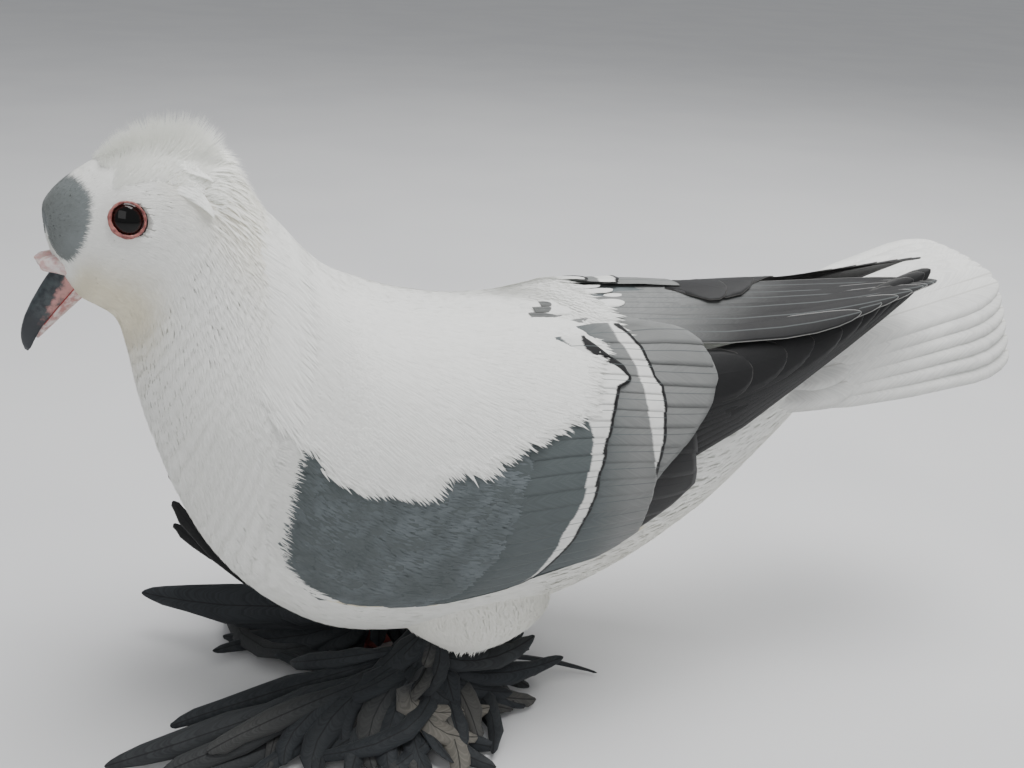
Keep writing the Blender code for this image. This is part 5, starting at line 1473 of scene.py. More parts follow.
def make_inner_vanes(material):
    """The right wing's long inner feathers, side by side across the back, and the white tips over their roots."""
    rows = []
    for k, (root, middle, tip) in enumerate(INNER_VANES):
        root, middle, tip = (np.array(place) for place in (root, middle, tip))
        over = (len(INNER_VANES) - 1 - k) * INNER_LAP - INNER_SUNK
        control = 2.0 * middle - (root + tip) / 2.0 + (0, 0, over + 0.4)
        across = (0.0, 1.0, BACK_SLOPE * middle[1])
        rows.append((root + (0, 0, 0.2), control, tip + (0, 0, over * 0.5), across, 4.3, 0.5))
    shape, values = free_vanes(rows, columns=9, straight=0.72, camber=0.1)
    count, each = shape[0].shape[:2]
    values["rear"] = np.tile(shape[3], count).reshape(count, each) * 0.95
    vane_piece("inner_vanes", shape, values, material)
    rows = []
    for (root_x, root_z), tip in MANTLE_TIPS:
        tip = np.array(tip)
        root = np.array((root_x, tip[1] + 1.0, root_z))
        rows.append((root, (root + tip) / 2.0 + (0, 0, 1.2), tip, (0.0, 1.0, BACK_SLOPE * tip[1]), 3.2, 0.4))
    shape, values = free_vanes(rows, columns=7, straight=0.8, camber=0.15, fray=0.06)
    c = looks()
    white = vane_material("white_tips", c.white, c.white, c.white, streak=0.08)
    vane_piece("mantle_tips", shape, values, white)


def make_primaries():
    """The hand's flight feathers of both wings, charcoal with pale rims."""
    c = looks()
    vanes_ = vane_material("primaries", c.charcoal, c.charcoal, c.arc, rim_mm=0.28, streak=0.12, shaft_width=0.3,
                           rough=0.48, barb=0.5)
    first, last = np.array(PRIMARY_ROOTS)
    for side, name in SIDES:
        rows = []
        for i, tip in enumerate(PRIMARY_TIPS):
            share = i / (PRIMARY_COUNT - 1.0)
            root = first + (last - first) * share + (0.0, 30.0 * (side == RIGHT))
            span = np.array(tip) - root
            control = root + span * 0.5 + np.array((-2.0, -12.0)) * share
            base = 0.2 * (PRIMARY_COUNT - 1 - i)
            rows.append((root, control, tip, 8.4 - 2.2 * share, (base - 1.8, base), 0.45))
        shape, values = chart_vanes(side, rows, straight=0.7, tilt=0.05)
        values["to_side"] = np.where(values["across"] > 0.0, 9.0, values["to_side"])
        made = vane_piece("primaries_vanes_" + name, shape, values, vanes_, side)
        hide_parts("primaries_" + name)


def tail_frame():
    """Along the tail, up from it and across it to the right, with its left edge rolled down."""
    rise_angle, roll = math.radians(TAIL_RISE_DEG), math.radians(TAIL_ROLL_DEG)
    along = np.array([math.cos(rise_angle), 0.0, math.sin(rise_angle)])
    level = np.array([0.0, 1.0, 0.0])
    up = np.array([-math.sin(rise_angle), 0.0, math.cos(rise_angle)])
    return along, up * math.cos(roll) - level * math.sin(roll), level * math.cos(roll) + up * math.sin(roll)


def tail_row(place, length, lift, half):
    """A row for free_vanes: a tail feather at a place across the fan, from -1 to 1."""
    along, up, across = tail_frame()
    near, middle, far = TAIL_RUN_OUT
    start = np.array(TAIL_ROOT) + up * (lift - 1.5 * place * place)
    tip = start + along * length + across * far * place - up * (2.0 + 5.0 * place * place)
    control = start + along * length * 0.42 + across * middle * place + up
    return (start + across * near * place, control, tip, across - up * 0.2 * place, half, 0.6)


def make_tail():
    """Twelve white tail feathers that lap from the middle outwards, with coverts over and under them."""
    c = looks()
    white = vane_material("tail_vanes", c.white, c.white_shade, c.white, streak=0.12, barb=0.8, shaft_width=0.4)
    rows = []
    for i in range(TAIL_FEATHERS // 2):
        share = (i + 0.5) / (TAIL_FEATHERS / 2.0 - 0.5) if i else 0.09
        for way in (-1, 1):
            lift = -0.5 * i - (0.25 if way > 0 else 0.0)
            rows.append(tail_row(way * min(share, 1.0), TAIL_LENGTH - 1.2 * i, lift, 8.5))
    shape, values = free_vanes(rows, straight=0.86)
    vane_piece("tail_vanes", shape, values, white, LEFT, False)
    rows = []
    for i, place in enumerate(np.linspace(-0.75, 0.75, 7)):
        rows.append(tail_row(place, 50.0 - 6.0 * abs(place), 1.1 + 0.2 * (i % 2), 7.5))
        rows.append(tail_row(place, 68.0 - 8.0 * abs(place), -5.0 - 0.2 * (i % 2), 8.0))
    shape, values = free_vanes(rows, straight=0.75)
    vane_piece("tail_coverts", shape, values, white, LEFT, False)


MUFF_REACH = {
    LEFT: [
        (-44, 34, 8, 3), (-20, 46, 9, 3), (-5, 74, 11, 2.5), (10, 104, 13, 3), (24, 92, 12, 2.5), (39, 80, 12, 2.5),
        (56, 68, 11, 2.5), (77, 58, 11, 2.5), (100, 48, 11, 2.5), (126, 40, 12, 3), (152, 38, 13, 3),
        (176, 44, 14, 4), (200, 54, 16, 7),
    ],
    RIGHT: [
        (-30, 26, 8, 3), (-16, 44, 9, 3), (-2, 60, 10, 5), (14, 78, 12, 7), (27, 86, 13, 5), (40, 76, 12, 4),
        (56, 66, 12, 3), (76, 58, 11, 2.5), (99, 50, 11, 2.5), (123, 44, 12, 3), (147, 52, 13, 5), (168, 66, 15, 9),
        (184, 84, 16, 15),
    ],
}
STANDING_QUILL = [(-30.0, 30.0, 12.0), (-58.0, 38.0, 22.0), (-80.0, 41.0, 44.0), (-84.0, 42.0, 77.0)]


# Layers of the shorter foot feathers: how many, their share of the muff's reach, and the height of their roots.
MUFF_LAYERS = ((20, 0.9, 9.0), (22, 0.74, 16.0), (22, 0.52, 24.0), (20, 0.34, 31.0))
# Rings of the bare shank: height, radius, and the way back from the foot's centre.
SHANK_ROWS = ((0.0, 4.6, 0.0), (2.5, 5.4, 0.0), (7.0, 4.4, 0.4), (16.0, 4.0, 2.0), (26.0, 4.6, 4.0))
CLAW_RADIUS, CLAW_REACH = 1.15, 8.0


def full_turn(count):
    return np.linspace(0.0, 2.0 * math.pi, count, endpoint=False)


def bearing_ways(bearing_deg):
    """The level ways out from a foot at a bearing, counted from straight ahead, and across that."""
    turn = math.radians(bearing_deg)
    out = np.array([-math.cos(turn), -math.sin(turn), 0.0])
    return out, np.array([-out[1], out[0], 0.0])


def foot_centre(side):
    return np.array([FOOT_X[side], -FOOT_Y, 0.0])


# Long feathers of each foot: root, middle and tip in millimetres, half width, tilt and paleness.
MUFF_PLUMES = {
    LEFT: [
        ((-14, -24, 22), (-57, -24, 13), (-86, -26, 7), 4.6, 0.8, 0.2),
        ((-14, -26, 20), (-67, -35, 11), (-106, -37, 3), 5.2, 0.7, 0.35),
        ((-14, -27, 17), (-64, -40, 9), (-89, -44, 3), 5.0, 0.7, 0.4),
        ((-13, -27, 20), (-54, -37, 13), (-75, -43, 8), 4.6, 0.6, 0.45),
        ((-12, -24, 25), (-36, -19, 21), (-46, -9, 15), 4.0, 0.7, 0.1),
        ((-12, -27, 21), (-42, -36, 13), (-52, -49, 4), 5.6, 0.5, 0.1),
        ((-10, -27, 22), (-36, -39, 12), (-44, -56, 3), 5.6, 0.4, 0.3),
        ((-9, -28, 24), (-30, -36, 14), (-32, -49, 4), 5.2, 0.3, 0.15),
        ((-7, -29, 23), (-23, -43, 13), (-25, -56, 3), 5.6, 0.2, 0.45),
        ((-4, -29, 23), (-18, -46, 12), (-20, -61, 3), 5.6, 0.1, 0.2),
        ((-4, -25, 27), (13, -31, 22), (36, -23, 24), 5.0, 0.7, 0.35),
        ((-4, -26, 26), (16, -30, 16), (47, -23, 14), 4.8, 0.7, 0.1),
        ((-4, -27, 24), (11, -30, 13), (31, -33, 3), 6.0, 0.6, 0.05),
        ((-5, -27, 25), (5, -33, 16), (27, -30, 7), 5.4, 0.6, 0.05),
        ((-4, -26, 25), (38, -12, 8), (62, -18, 2), 1.6, 0.3, 0.2),
        ((-6, -30, 22), (-8, -42, 14), (18, -38, 8), 6.6, 0.4, 1.0),
        ((-6, -34, 17), (-4, -47, 10), (10, -50, 6), 5.6, 0.3, 0.9),
        ((-8, -34, 15), (-11, -50, 8), (-8, -62, 3), 5.6, 0.2, 0.1),
        ((-2, -34, 14), (2, -50, 7), (1, -64, 3), 5.0, 0.2, 0.85),
    ],
    RIGHT: [
        ((-14, -19, 25), (-50, -18, 21), (-95, -45, 16), 8.5, 1.0, 0.1),
        ((-14, -17, 23), (-40, -15, 17), (-73, -41, 11), 7.0, 0.9, 0.15),
        ((-14, -15, 20), (-38, -13, 11), (-67, -29, 4), 6.5, 0.6, 0.25),
        ((-13, -13, 18), (-27, -8, 12), (-42, -16, 4), 5.4, 0.5, 0.1),
        ((-15, -19, 35), (-17, -11, 23), (-22, -6, 8), 6.0, 0.9, 0.1),
        ((-12, -19, 35), (-8, -11, 23), (-5, -5, 8), 6.0, 0.9, 0.2),
        ((-13, -18, 36), (-13, -8, 24), (-14, -2, 10), 6.0, 0.6, 0.3),
        ((-14, -16, 26), (-32, -8, 23), (-56, -26, 20), 6.4, 1.0, 0.1),
    ],
}


def plume_row(side, root, middle, tip, half, tilt):
    """A vane through three places, its far edge tilted up."""
    root, middle, tip = (np.array(place, float) for place in (root, middle, tip))
    way = unit((tip - root) * (1.0, 1.0, 0.0))
    level = np.array([-way[1], way[0], 0.0])
    up = math.sin(tilt) * (1.0 if level[1] * (1 if side == LEFT else -1) > 0 else -1.0)
    return root, 2.0 * middle - (root + tip) / 2.0, tip, level * math.cos(tilt) + np.array([0.0, 0.0, up]), half, 0.4


def make_muffs():
    """The long feathers of both feet: broad drooping plumes over a soft fan of shorter ones."""
    c = looks()
    slate = vane_material("muff_vanes", c.muff, c.black, c.muff, streak=0.4, barb=0.8, shaft_width=0.35,
                          pale_end=c.muff_end)
    for side, name in SIDES:
        draw = np.random.default_rng(101 + side)
        table = np.array(MUFF_REACH[side], float)
        rows, tones = [], []
        for layer, (count, share, root_z) in enumerate(MUFF_LAYERS):
            turns = np.linspace(table[0, 0], table[-1, 0] + 14.0, count) + draw.uniform(-8, 8, count)
            for bearing in turns:
                reach, tip_z = (float(np.interp(bearing, table[:, 0], table[:, k])) for k in (1, 3))
                reach = max(reach * share, 18.0) * draw.uniform(0.75, 1.04)
                out, across = bearing_ways(bearing)
                across = across * draw.normal(0.0, 0.16)
                root = foot_centre(side) + out * 3.0 + (2.0, 0, root_z)
                middle = foot_centre(side) + (out * 0.56 + across) * reach + (0, 0, root_z * 0.62 + draw.uniform(0, 3))
                tip = foot_centre(side) + (out - across) * reach + (0, 0, tip_z + 1.2 * layer)
                rows.append(plume_row(side, root, middle, tip, draw.uniform(3.4, 5.2), draw.uniform(0.0, 0.7)))
                tones.append(draw.uniform(0.0, 0.62))
        for plume in MUFF_PLUMES[side]:
            rows.append(plume_row(side, *plume[:5]))
            tones.append(plume[5])
        shape, values = free_vanes(rows, columns=9, straight=0.5, camber=0.3, fray=0.4, seed=111 + side)
        points = shape[0]
        points[..., 2] = np.maximum(points[..., 2], 0.5)
        made = vane_piece("muff_" + name, (points,) + shape[1:], values, slate, side, False, tones)
        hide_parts("foot_" + name)
    quill = np.array([(x, -y, z) for x, y, z in STANDING_QUILL])
    dark = vane_material("standing_vane", c.charcoal, c.black, c.charcoal, streak=0.4, shaft_width=0.6)
    rows = []
    draw = np.random.default_rng(107)
    for k in range(5):
        drift = draw.uniform(-3.0, 3.0, 3) * (k > 0)
        rows.append((quill[0] + drift, quill[1] * 0.3 + quill[2] * 0.7 + (6.0, 0, -10.0) + drift, quill[3] + drift * 1.5
                     + (1.5 * k, 0, -9.0 * k), (0.95, 0.3, 0.25), 6.0 - 0.4 * k, 0.4))
    shape, values = free_vanes(rows, columns=9, straight=0.6, fray=0.45, seed=7)
    vane_piece("standing_vanes", shape, values, dark, RIGHT, False)


def make_feet():
    """Toes with flat soles and small curved claws."""
    c = looks()
    skin = skin_material("toe_skin", c.toe, c.lid, 2.4, 0.55, 0.5)
    horn = skin_material("claw_horn", c.horn, c.charcoal, 3.0, 0.35, 0.15)
    for side, name in SIDES:
        centre = foot_centre(side)
        turns = full_turn(20)
        shank = [np.stack([centre[0] + back + radius * np.cos(turns), centre[1] + radius * np.sin(turns),
                           np.full(20, z)], -1) for z, radius, back in SHANK_ROWS]
        lofted("shank_" + name, settled(shank, side, False), skin)
        for number, (bearing, length, radius) in enumerate(TOES, 1):
            out, across = bearing_ways(bearing)
            rings = []
            for share in np.linspace(-0.05, 1.0, 22):
                pads = 0.9 + 0.1 * math.cos(share * 19.0)
                swell = pads * math.sqrt(max(1.0 - max(share - 0.8, 0.0) ** 2 * 20.0, 0.15))
                ring = []
                for a in full_turn(16):
                    height = radius * (0.62 + swell * math.sin(a))
                    ring.append(centre + out * length * share + across * radius * swell * math.cos(a)
                                + (0, 0, max(height, 0.0)))
                rings.append(ring)
            lofted(f"toe_{name}_{number}", settled(rings, side, False), skin)
            rings = []
            for share in np.linspace(0.0, 0.94, 10):
                radius = CLAW_RADIUS * math.sqrt(1.0 - share**1.7)
                middle = centre + out * (length - 0.6 + CLAW_REACH * share)
                middle = middle + (0, 0, 2.4 + 0.9 * share - 2.2 * share**2)
                rings.append([middle + (across * math.cos(a) + UP * math.sin(a)) * radius for a in full_turn(12)])
            made = lofted(f"claw_horn_{name}_{number}", settled(rings, side, False), horn)
            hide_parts(f"claw_{name}_{number}")


def eye_axes():
    """The left eye's middle, and the ways out of the head, up and forward there."""
    centre, normal = eye_centre()
    up = unit(np.array([0.0, 0.0, 1.0]) - normal * normal[2])
    return centre, normal, up, np.cross(up, normal)


def outward(work):
    """Turns the faces of a closed bmesh outwards."""
    bmesh.ops.recalc_face_normals(work, faces=work.faces)
    if work.calc_volume(signed=True) < 0:
        bmesh.ops.reverse_faces(work, faces=work.faces)


EYE_FLAT, EYE_TALL = 0.78, 1.08
LID_OPEN, LID_TALL, LID_THICK = 0.76, 1.12, 0.36
LID_SECTIONS, LID_SIDES = 64, 12


def lid_rings(radius, proud, level, normal, up, fore):
    """Rings round the eye's opening: a lid that is thickest behind and below, and a little uneven."""
    rings = []
    for angle in full_turn(LID_SECTIONS):
        rear, low = -math.cos(angle), -math.sin(angle)
        reach = radius * (LID_OPEN + 0.02 * math.sin(2.0 * angle + 0.6))
        out = fore * math.cos(angle) * reach + up * math.sin(angle) * reach * LID_TALL
        thick = LID_THICK + 0.3 * max(0.0, rear * 0.6 + low * 0.7)
        thick = thick + 0.06 * math.sin(angle * 7.0) + 0.04 * math.sin(angle * 17.0)
        rings.append([level + normal * (math.sin(a) * thick * 0.75 + 0.25 + proud * 0.28) + out
                      + unit(out) * (math.cos(a) * thick + 0.35) for a in full_turn(LID_SIDES)])
    return rings + rings[:1]


def make_eyes():
    """Dark eyes with a red-brown iris, set in fleshy lids."""
    c = looks()
    radius, proud = sizes().eye_radius / MM, sizes().eye_proud / MM
    centre, normal, up, fore = eye_axes()
    level = centre + normal * (EYE_R - EYE_PROUD)
    middle = level + normal * (proud - radius * EYE_FLAT)
    gloss, tree, shader = new_material("eye_gloss", Roughness=0.05, Specular_IOR_Level=0.3)
    fleck = object_noise(tree, 0.6, 3.0)
    iris = blend_colour(tree, smooth_step(tree, fleck, 0.3, 0.7), rgba(c.iris), rgba(c.iris_dark))
    shade = blend_colour(tree, smooth_step(tree, held(tree, "polar"), 0.56, 0.68), (0.002, 0.002, 0.002, 1.0), iris)
    tree.links.new(shade, shader.inputs["Base Color"])
    lid = skin_material("lid_skin", c.lid, c.lid_pale, 1.3, 0.5, 0.5, 0.15)
    turn = np.stack([fore * radius, up * radius * EYE_TALL, normal * radius * EYE_FLAT], 1)
    for side, name in SIDES:
        work = bmesh.new()
        bmesh.ops.create_uvsphere(work, u_segments=64, v_segments=40, radius=1.0)
        unit_points = np.array([v.co for v in work.verts])
        for vertex, place in zip(work.verts, settle(unit_points @ turn.T + middle, side)):
            vertex.co = place
        outward(work)
        ball = from_work("eyeball_" + name, work, gloss)
        write_points(ball.data, values={"polar": np.arccos(np.clip(unit_points[:, 2], -1.0, 1.0))})
        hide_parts("eye_" + name)
        lofted("lids_" + name, settled(lid_rings(radius, proud, level, normal, up, fore), side), lid)


GAPE_BACK = (2.6, -0.6)
# Each half of the bill and the mouth line: the share along, the height, the width and the lift off the mouth line.
BILL_UPPER = [
    (-0.12, 6.6, 0.98, 0.2), (0.1, 6.9, 1.0, 0.2), (0.2, 6.8, 0.98, 0.2), (0.4, 6.3, 0.86, 0.2),
    (0.58, 5.6, 0.7, 0.15), (0.74, 4.8, 0.52, -0.1), (0.86, 4.0, 0.38, -0.7), (0.94, 2.9, 0.26, -1.2),
    (0.985, 1.6, 0.14, -1.4), (1.0, 0.7, 0.06, -1.2),
]
BILL_LOWER = [
    (-0.12, -5.0, 0.98, -0.2), (0.2, -4.6, 0.92, -0.2), (0.42, -3.6, 0.74, -0.2), (0.6, -2.7, 0.52, -0.25),
    (0.74, -1.8, 0.34, -0.5), (0.82, -1.0, 0.2, -0.9), (0.85, -0.5, 0.08, -1.2),
]
MOUTH_LINE = [(-0.1, 0.5, 1.03, -0.05), (0.2, 0.5, 1.01, -0.05), (0.5, 0.4, 0.8, -0.1), (0.7, 0.3, 0.55, -0.3)]
CERE_RADIUS, CERE_SHAPE = 3.2, (2.1, 1.1, 0.95)


def bill_axes():
    """Along the bill and across it towards the ridge, in the x, z plane."""
    along = np.array([BILL_TIP[0] - BILL_GAPE[0], BILL_TIP[1] - BILL_GAPE[1]])
    length = np.linalg.norm(along)
    along /= length
    return along, np.array([along[1], -along[0]]), length


def bill_rings(rows, count=30, sides=28):
    """Rings of one mandible from rows of place along the bill, height, width and lift off the mouth line."""
    along, across, length = bill_axes()
    rows = np.array(rows)
    gape = np.array(BILL_GAPE) + GAPE_BACK
    shares = np.linspace(rows[0, 0], rows[-1, 0], count)
    rings = []
    for share in shares:
        height, width, base = (np.interp(share, rows[:, 0], rows[:, k]) for k in (1, 2, 3))
        centre = gape + along * share * length + across * base - np.array(GAPE_BACK) * np.clip(share, 0.0, 1.0)
        ring = []
        for a in full_turn(sides):
            high = math.sin(a)
            up = height * abs(high) ** 0.9 if high > 0 else 0.35 * math.copysign(1, height) * high
            flat = centre + across * up
            ring.append((flat[0], -BILL_HALF_WIDTH * width * math.cos(a), flat[1]))
        rings.append(ring)
    return rings


def make_bill():
    """A short stout bill: dark hooked upper half, pink lower half, red mouth line and powdery cere."""
    c = looks()
    along, across, length = bill_axes()
    horn, tree, shader = new_material("bill_horn_layers", Roughness=0.38)
    streak = object_noise(tree, 2.2, 4.0, (1.0, 0.5, 1.0))
    shade = blend_colour(tree, smooth_step(tree, streak, 0.3, 0.7), rgba(c.horn), rgba(c.horn_dark))
    side_way = calc(tree, "MULTIPLY_ADD", held(tree, "along"), -0.35, held(tree, "low"))
    ragged = calc(tree, "MULTIPLY_ADD", streak, 0.5, side_way)
    shade = blend_colour(tree, smooth_step(tree, ragged, 0.98, 1.15), shade, rgba(c.mouth_pink))
    shade = blend_colour(tree, smooth_step(tree, held(tree, "along"), 0.5, 0.75), shade, rgba(c.horn_dark))
    tree.links.new(shade, shader.inputs["Base Color"])
    bump(tree, shader, streak, 0.2, 0.15)
    made = lofted("bill_ridge", settled(bill_rings(BILL_UPPER)), horn)
    points = mesh_points(made.data) / MM - SHIFT
    write_points(made.data, values=dict(zip(("along", "low"), bill_shares(points))))
    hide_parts("bill_upper")
    flesh = skin_material("bill_flesh_soft", c.mouth_pink, c.cere, 2.0, 0.45, 0.2)
    made = lofted("bill_under", settled(bill_rings(BILL_LOWER)), flesh)
    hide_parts("bill_lower")
    red = skin_material("mouth_line", c.mouth_red, c.lid, 1.2, 0.35, 0.2)
    lofted("mouth_corner", settled(bill_rings(MOUTH_LINE)), red)
    powder = skin_material("cere_powder", c.cere, c.cere_pink, 1.6, 0.75, 0.35, 0.2)
    for side, name in SIDES:
        place = np.array(BILL_GAPE) + along * length * 0.1 + across * 5.4 + (1.4, -1.4)
        work = bmesh.new()
        bmesh.ops.create_icosphere(work, subdivisions=4, radius=CERE_RADIUS)
        for vertex in work.verts:
            p = np.array(vertex.co)
            lump = 1.0 + 0.07 * math.sin(p[0] * 1.9 + 1.0) + 0.05 * math.sin(p[2] * 2.7) * math.cos(p[1] * 2.2)
            wide = 1.0 + 0.12 * p[0] / CERE_RADIUS
            sink = 0.22 * max(p[0], 0.0)
            p = p * CERE_SHAPE * (1.0, wide, 1.0) * lump + (place[0], -3.0 - sink, place[1] - sink)
            vertex.co = settle(p, side)[0]
        outward(work)
        lobe = from_work("cere_lobe_" + name, work, powder)
        if side == LEFT:
            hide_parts("cere")


def bill_shares(points):
    """How far along the bill, and how near the mouth line, each turned point is, from 0 to 1."""
    turned = posed(np.array([(BILL_GAPE[0], 0.0, BILL_GAPE[1]), (BILL_TIP[0], 0.0, BILL_TIP[1])]))
    axis = turned[1] - turned[0]
    along = (points - turned[0]) @ axis / (axis @ axis)
    off = points - turned[0] - along[:, None] * axis
    down = 1.0 - np.clip(off[:, 2] / 4.0, 0.0, 1.0)
    return along, down


FLOOR_HALF = 6.0
LAMP_SIZE, LAMP_AIM = 0.8, (-0.02, 0.0, 0.1)
LAMPS = (("key", (0.2, -0.1, 1.3), 15.0), ("back", (0.6, 0.6, 1.1), 4.0), ("front", (-0.5, -1.1, 0.8), 2.2))
SKY_COLOUR = (0.95, 0.97, 1.0, 1.0)
CAMERA_AT, CAMERA_LENS, CAMERA_SENSOR, CAMERA_NEAR = (-75.94, -370.37, 255.0), 43.24, 36.0, 0.01


def make_stage():
    """A plain pale floor, soft studio light and the camera at the photograph's angle."""
    c = looks()
    work = bmesh.new()
    bmesh.ops.create_grid(work, x_segments=2, y_segments=2, size=FLOOR_HALF)
    mesh = bpy.data.meshes.new("floor")
    work.to_mesh(mesh)
    work.free()
    floor = bpy.data.objects.new("floor", mesh)
    bpy.context.scene.collection.objects.link(floor)
    made, tree, shader = new_material("floor_paper", Roughness=0.9)
    soft = object_noise(tree, 180.0, 2.0)
    shade = blend_colour(tree, smooth_step(tree, soft, 0.3, 0.7), rgba(c.floor), rgba(c.floor_shade))
    tree.links.new(shade, shader.inputs["Base Color"])
    mesh.materials.append(made)
    world = bpy.data.worlds.new("soft_sky")
    bpy.context.scene.world = world
    world.use_nodes = True
    sky = world.node_tree.nodes["Background"].inputs
    sky[0].default_value = SKY_COLOUR
    sky[1].default_value = sizes().sky_strength
    for name, place, energy in LAMPS:
        light = bpy.data.lights.new(name, "AREA")
        light.size = LAMP_SIZE
        light.energy = energy * sizes().light_strength
        lamp = bpy.data.objects.new(name, light)
        bpy.context.scene.collection.objects.link(lamp)
        lamp.location = place
        lamp.rotation_mode = "QUATERNION"
        lamp.rotation_quaternion = (Vector(LAMP_AIM) - Vector(place)).to_track_quat("-Z", "Y")
    camera = bpy.data.objects.new("camera", bpy.data.cameras.new("camera"))
    bpy.context.scene.collection.objects.link(camera)
    camera.data.sensor_width = CAMERA_SENSOR
    camera.data.lens = CAMERA_LENS
    camera.data.clip_start = CAMERA_NEAR
    camera.matrix_world = camera_matrix()
    bpy.context.scene.camera = camera


def camera_matrix():
    """Where the camera stands, how it is turned, and its small roll."""
    heading, down, roll = (math.radians(v) for v in (sizes().heading, sizes().pitch, sizes().roll))
    ahead = np.array([math.sin(heading) * math.cos(down), math.cos(heading) * math.cos(down), -math.sin(down)])
    level = np.array([math.cos(heading), -math.sin(heading), 0.0])
    up = np.cross(level, ahead)
    turn = np.eye(4)
    turn[:3, 0] = level * math.cos(roll) + up * math.sin(roll)
    turn[:3, 1] = up * math.cos(roll) - level * math.sin(roll)
    turn[:3, 2] = -ahead
    turn[:3, 3] = (CAMERA_AT + SHIFT) * MM
    return Matrix(turn.tolist())


def colour(name, text, value):
    return bpy.props.FloatVectorProperty(name=name, description=text, subtype="COLOR", size=3, default=value)


def length(name, text, value_mm):
    return bpy.props.FloatProperty(name=name, description=text, unit="LENGTH", subtype="DISTANCE",
                                   default=value_mm * MM, min=0.0)


def number(name, text, value):
    return bpy.props.FloatProperty(name=name, description=text, default=value)


class PigeonLooks(bpy.types.PropertyGroup):
    white: colour("White", "Plumage of body, neck and tail", (0.8, 0.8, 0.77))
    white_shade: colour("White shade", "Shafts of white feathers", (0.62, 0.61, 0.57))
    cream: colour("Cream", "Stain of nape, throat and vent", (0.66, 0.6, 0.44))
    slate: colour("Slate", "Wing shield and snip", (0.095, 0.11, 0.112))
    secondary: colour("Secondary", "Rounded feathers behind the second bar", (0.2, 0.205, 0.2))
    charcoal: colour("Charcoal", "Flight feathers of the hand", (0.0125, 0.0125, 0.013))
    black: colour("Black", "Edges of the bars", (0.008, 0.008, 0.009))
    shaft: colour("Shaft", "Shafts of grey feathers", (0.09, 0.1, 0.1))
    inner_rim: colour("Inner rim", "Rims of the long inner feathers", (0.26, 0.26, 0.25))
    arc: colour("Arc", "Thin rims of the hand's feathers", (0.07, 0.068, 0.064))
    muff_end: colour("Muff end", "Free ends of the foot feathers", (0.15, 0.14, 0.12))
    muff: colour("Muff", "Long foot feathers", (0.022, 0.025, 0.028))
    lid: colour("Lid", "Skin round the eye", (0.2, 0.06, 0.055))
    lid_pale: colour("Pale lid", "Lighter patches of that skin", (0.4, 0.16, 0.14))
    iris: colour("Iris", "Eye round the pupil", (0.035, 0.006, 0.004))
    iris_dark: colour("Dark iris", "Darker flecks in it", (0.008, 0.002, 0.002))
    cere: colour("Cere", "Powdery lobes over the bill", (0.74, 0.66, 0.64))
    cere_pink: colour("Pink cere", "Their bare patches", (0.62, 0.4, 0.38))
    horn: colour("Horn", "Upper half of the bill", (0.06, 0.075, 0.08))
    horn_dark: colour("Dark horn", "Its hooked tip", (0.018, 0.022, 0.028))
    mouth_pink: colour("Mouth pink", "Lower half of the bill", (0.5, 0.25, 0.23))
    mouth_red: colour("Mouth red", "Corner of the mouth", (0.4, 0.03, 0.03))
    toe: colour("Toe", "Skin of the toes", (0.35, 0.09, 0.08))
    floor: colour("Floor", "Plain pale floor", (0.7, 0.7, 0.7))
    floor_shade: colour("Floor shade", "Its soft patches", (0.67, 0.67, 0.675))


class PigeonSizes(bpy.types.PropertyGroup):
    eye_radius: length("Eye radius", "Radius of the eyeball", 5.4)
    eye_proud: length("Eye stands out", "How far the eyeball stands out of the head", 1.5)
    bar_edge: length("Bar edge", "Width of the black line behind a white bar", 1.2)
    crest_strands: bpy.props.IntProperty(name="Crest strands", description="Strands of the crest", default=6500)
    mane_strands: bpy.props.IntProperty(name="Mane strands", description="Strands of the mane", default=3000)
    # Painted glow: the emission strength that lightens the shade of the white plumage.
    painted_glow: number("Painted glow", "Light that the crest's plumage lets through", 0.16)
    sky_strength: number("Sky", "Strength of the even light", 0.42)
    light_strength: number("Lights", "Strength of the lamps", 1.25)
    heading: number("Heading", "Camera's turn in degrees", 16.0)
    pitch: number("Pitch", "Camera's tilt down in degrees", 20.85)
    roll: number("Roll", "Camera's roll in degrees", 2.68)


class PIGEON_OT_skin(bpy.types.Operator):
    """One skin over the body, the neck, the head and the legs"""

    bl_idname = "pigeon.skin"
    bl_label = "Skin"

    def execute(self, context):
        make_skin()
        return {"FINISHED"}


class PIGEON_OT_coat(bpy.types.Operator):
    """Strands of plumage on body, neck and head"""

    bl_idname = "pigeon.coat"
    bl_label = "Coat"

    def execute(self, context):
        make_coat()
        make_vent()
        return {"FINISHED"}


class PIGEON_OT_thighs(bpy.types.Operator):
    """Plumage of the thighs"""

    bl_idname = "pigeon.thighs"
    bl_label = "Thighs"

    def execute(self, context):
        make_legs()
        return {"FINISHED"}


class PIGEON_OT_crest(bpy.types.Operator):
    """The crest from ear to ear and the mane below it"""

    bl_idname = "pigeon.crest"
    bl_label = "Crest and mane"

    def execute(self, context):
        make_crest()
        make_mane()
        return {"FINISHED"}


class PIGEON_OT_wings(bpy.types.Operator):
    """Both folded wings with their coverts and bars"""

    bl_idname = "pigeon.wings"
    bl_label = "Wings"

    def execute(self, context):
        make_wings()
        return {"FINISHED"}


class PIGEON_OT_primaries(bpy.types.Operator):
    """Flight feathers of the hand"""

    bl_idname = "pigeon.primaries"
    bl_label = "Primaries"

    def execute(self, context):
        make_primaries()
        return {"FINISHED"}


class PIGEON_OT_tail(bpy.types.Operator):
    """Tail feathers and their coverts"""

    bl_idname = "pigeon.tail"
    bl_label = "Tail"

    def execute(self, context):
        make_tail()
        return {"FINISHED"}


class PIGEON_OT_muffs(bpy.types.Operator):
    """Long feathers of the feet"""

    bl_idname = "pigeon.muffs"
    bl_label = "Muffs"

    def execute(self, context):
        make_muffs()
        return {"FINISHED"}


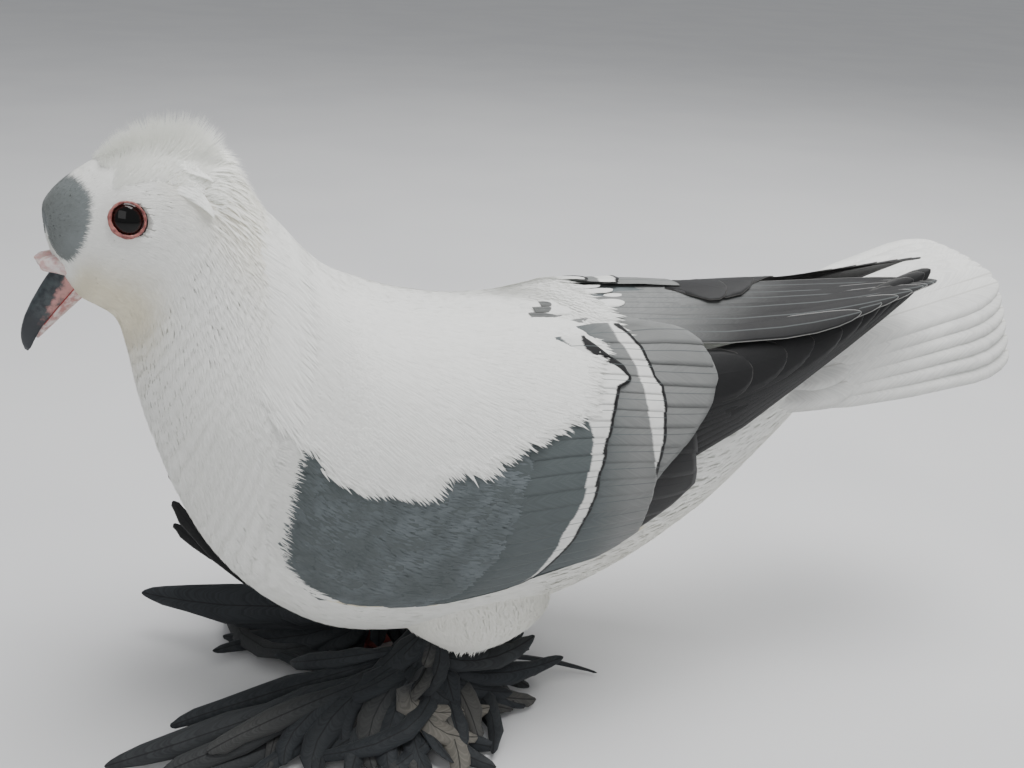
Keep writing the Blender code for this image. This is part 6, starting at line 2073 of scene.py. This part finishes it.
class PIGEON_OT_feet(bpy.types.Operator):
    """Shanks, toes and claws"""

    bl_idname = "pigeon.feet"
    bl_label = "Feet"

    def execute(self, context):
        make_feet()
        return {"FINISHED"}


class PIGEON_OT_eyes(bpy.types.Operator):
    """Eyes and lids"""

    bl_idname = "pigeon.eyes"
    bl_label = "Eyes"

    def execute(self, context):
        make_eyes()
        return {"FINISHED"}


class PIGEON_OT_bill(bpy.types.Operator):
    """Bill, mouth line and cere"""

    bl_idname = "pigeon.bill"
    bl_label = "Bill"

    def execute(self, context):
        make_bill()
        return {"FINISHED"}


class PIGEON_OT_stage(bpy.types.Operator):
    """Floor, lights and camera"""

    bl_idname = "pigeon.stage"
    bl_label = "Stage"

    def execute(self, context):
        make_stage()
        return {"FINISHED"}


STEPS = (
    PIGEON_OT_skin, PIGEON_OT_coat, PIGEON_OT_thighs, PIGEON_OT_crest, PIGEON_OT_wings, PIGEON_OT_primaries,
    PIGEON_OT_tail, PIGEON_OT_muffs, PIGEON_OT_feet, PIGEON_OT_eyes, PIGEON_OT_bill, PIGEON_OT_stage,
)


class PIGEON_PT_panel(bpy.types.Panel):
    """Lists the steps, sizes and colours of the pigeon"""

    bl_idname = "PIGEON_PT_panel"
    bl_label = "Pigeon"
    bl_space_type = "VIEW_3D"
    bl_region_type = "UI"
    bl_category = "Pigeon"

    def draw(self, context):
        for step in STEPS:
            self.layout.operator(step.bl_idname)
        for group in (context.scene.pigeon_sizes, context.scene.pigeon_looks):
            box = self.layout.box()
            for key in group.__annotations__:
                box.prop(group, key)


CLASSES = (PigeonLooks, PigeonSizes) + STEPS + (PIGEON_PT_panel,)


def register():
    for made in CLASSES:
        bpy.utils.register_class(made)
    bpy.types.Scene.pigeon_looks = bpy.props.PointerProperty(type=PigeonLooks)
    bpy.types.Scene.pigeon_sizes = bpy.props.PointerProperty(type=PigeonSizes)


def unregister():
    del bpy.types.Scene.pigeon_sizes
    del bpy.types.Scene.pigeon_looks
    for made in reversed(CLASSES):
        bpy.utils.unregister_class(made)


def main():
    register()
    for step in STEPS:
        getattr(bpy.ops.pigeon, step.bl_idname.split(".")[1])()


if __name__ == "__main__":
    main()
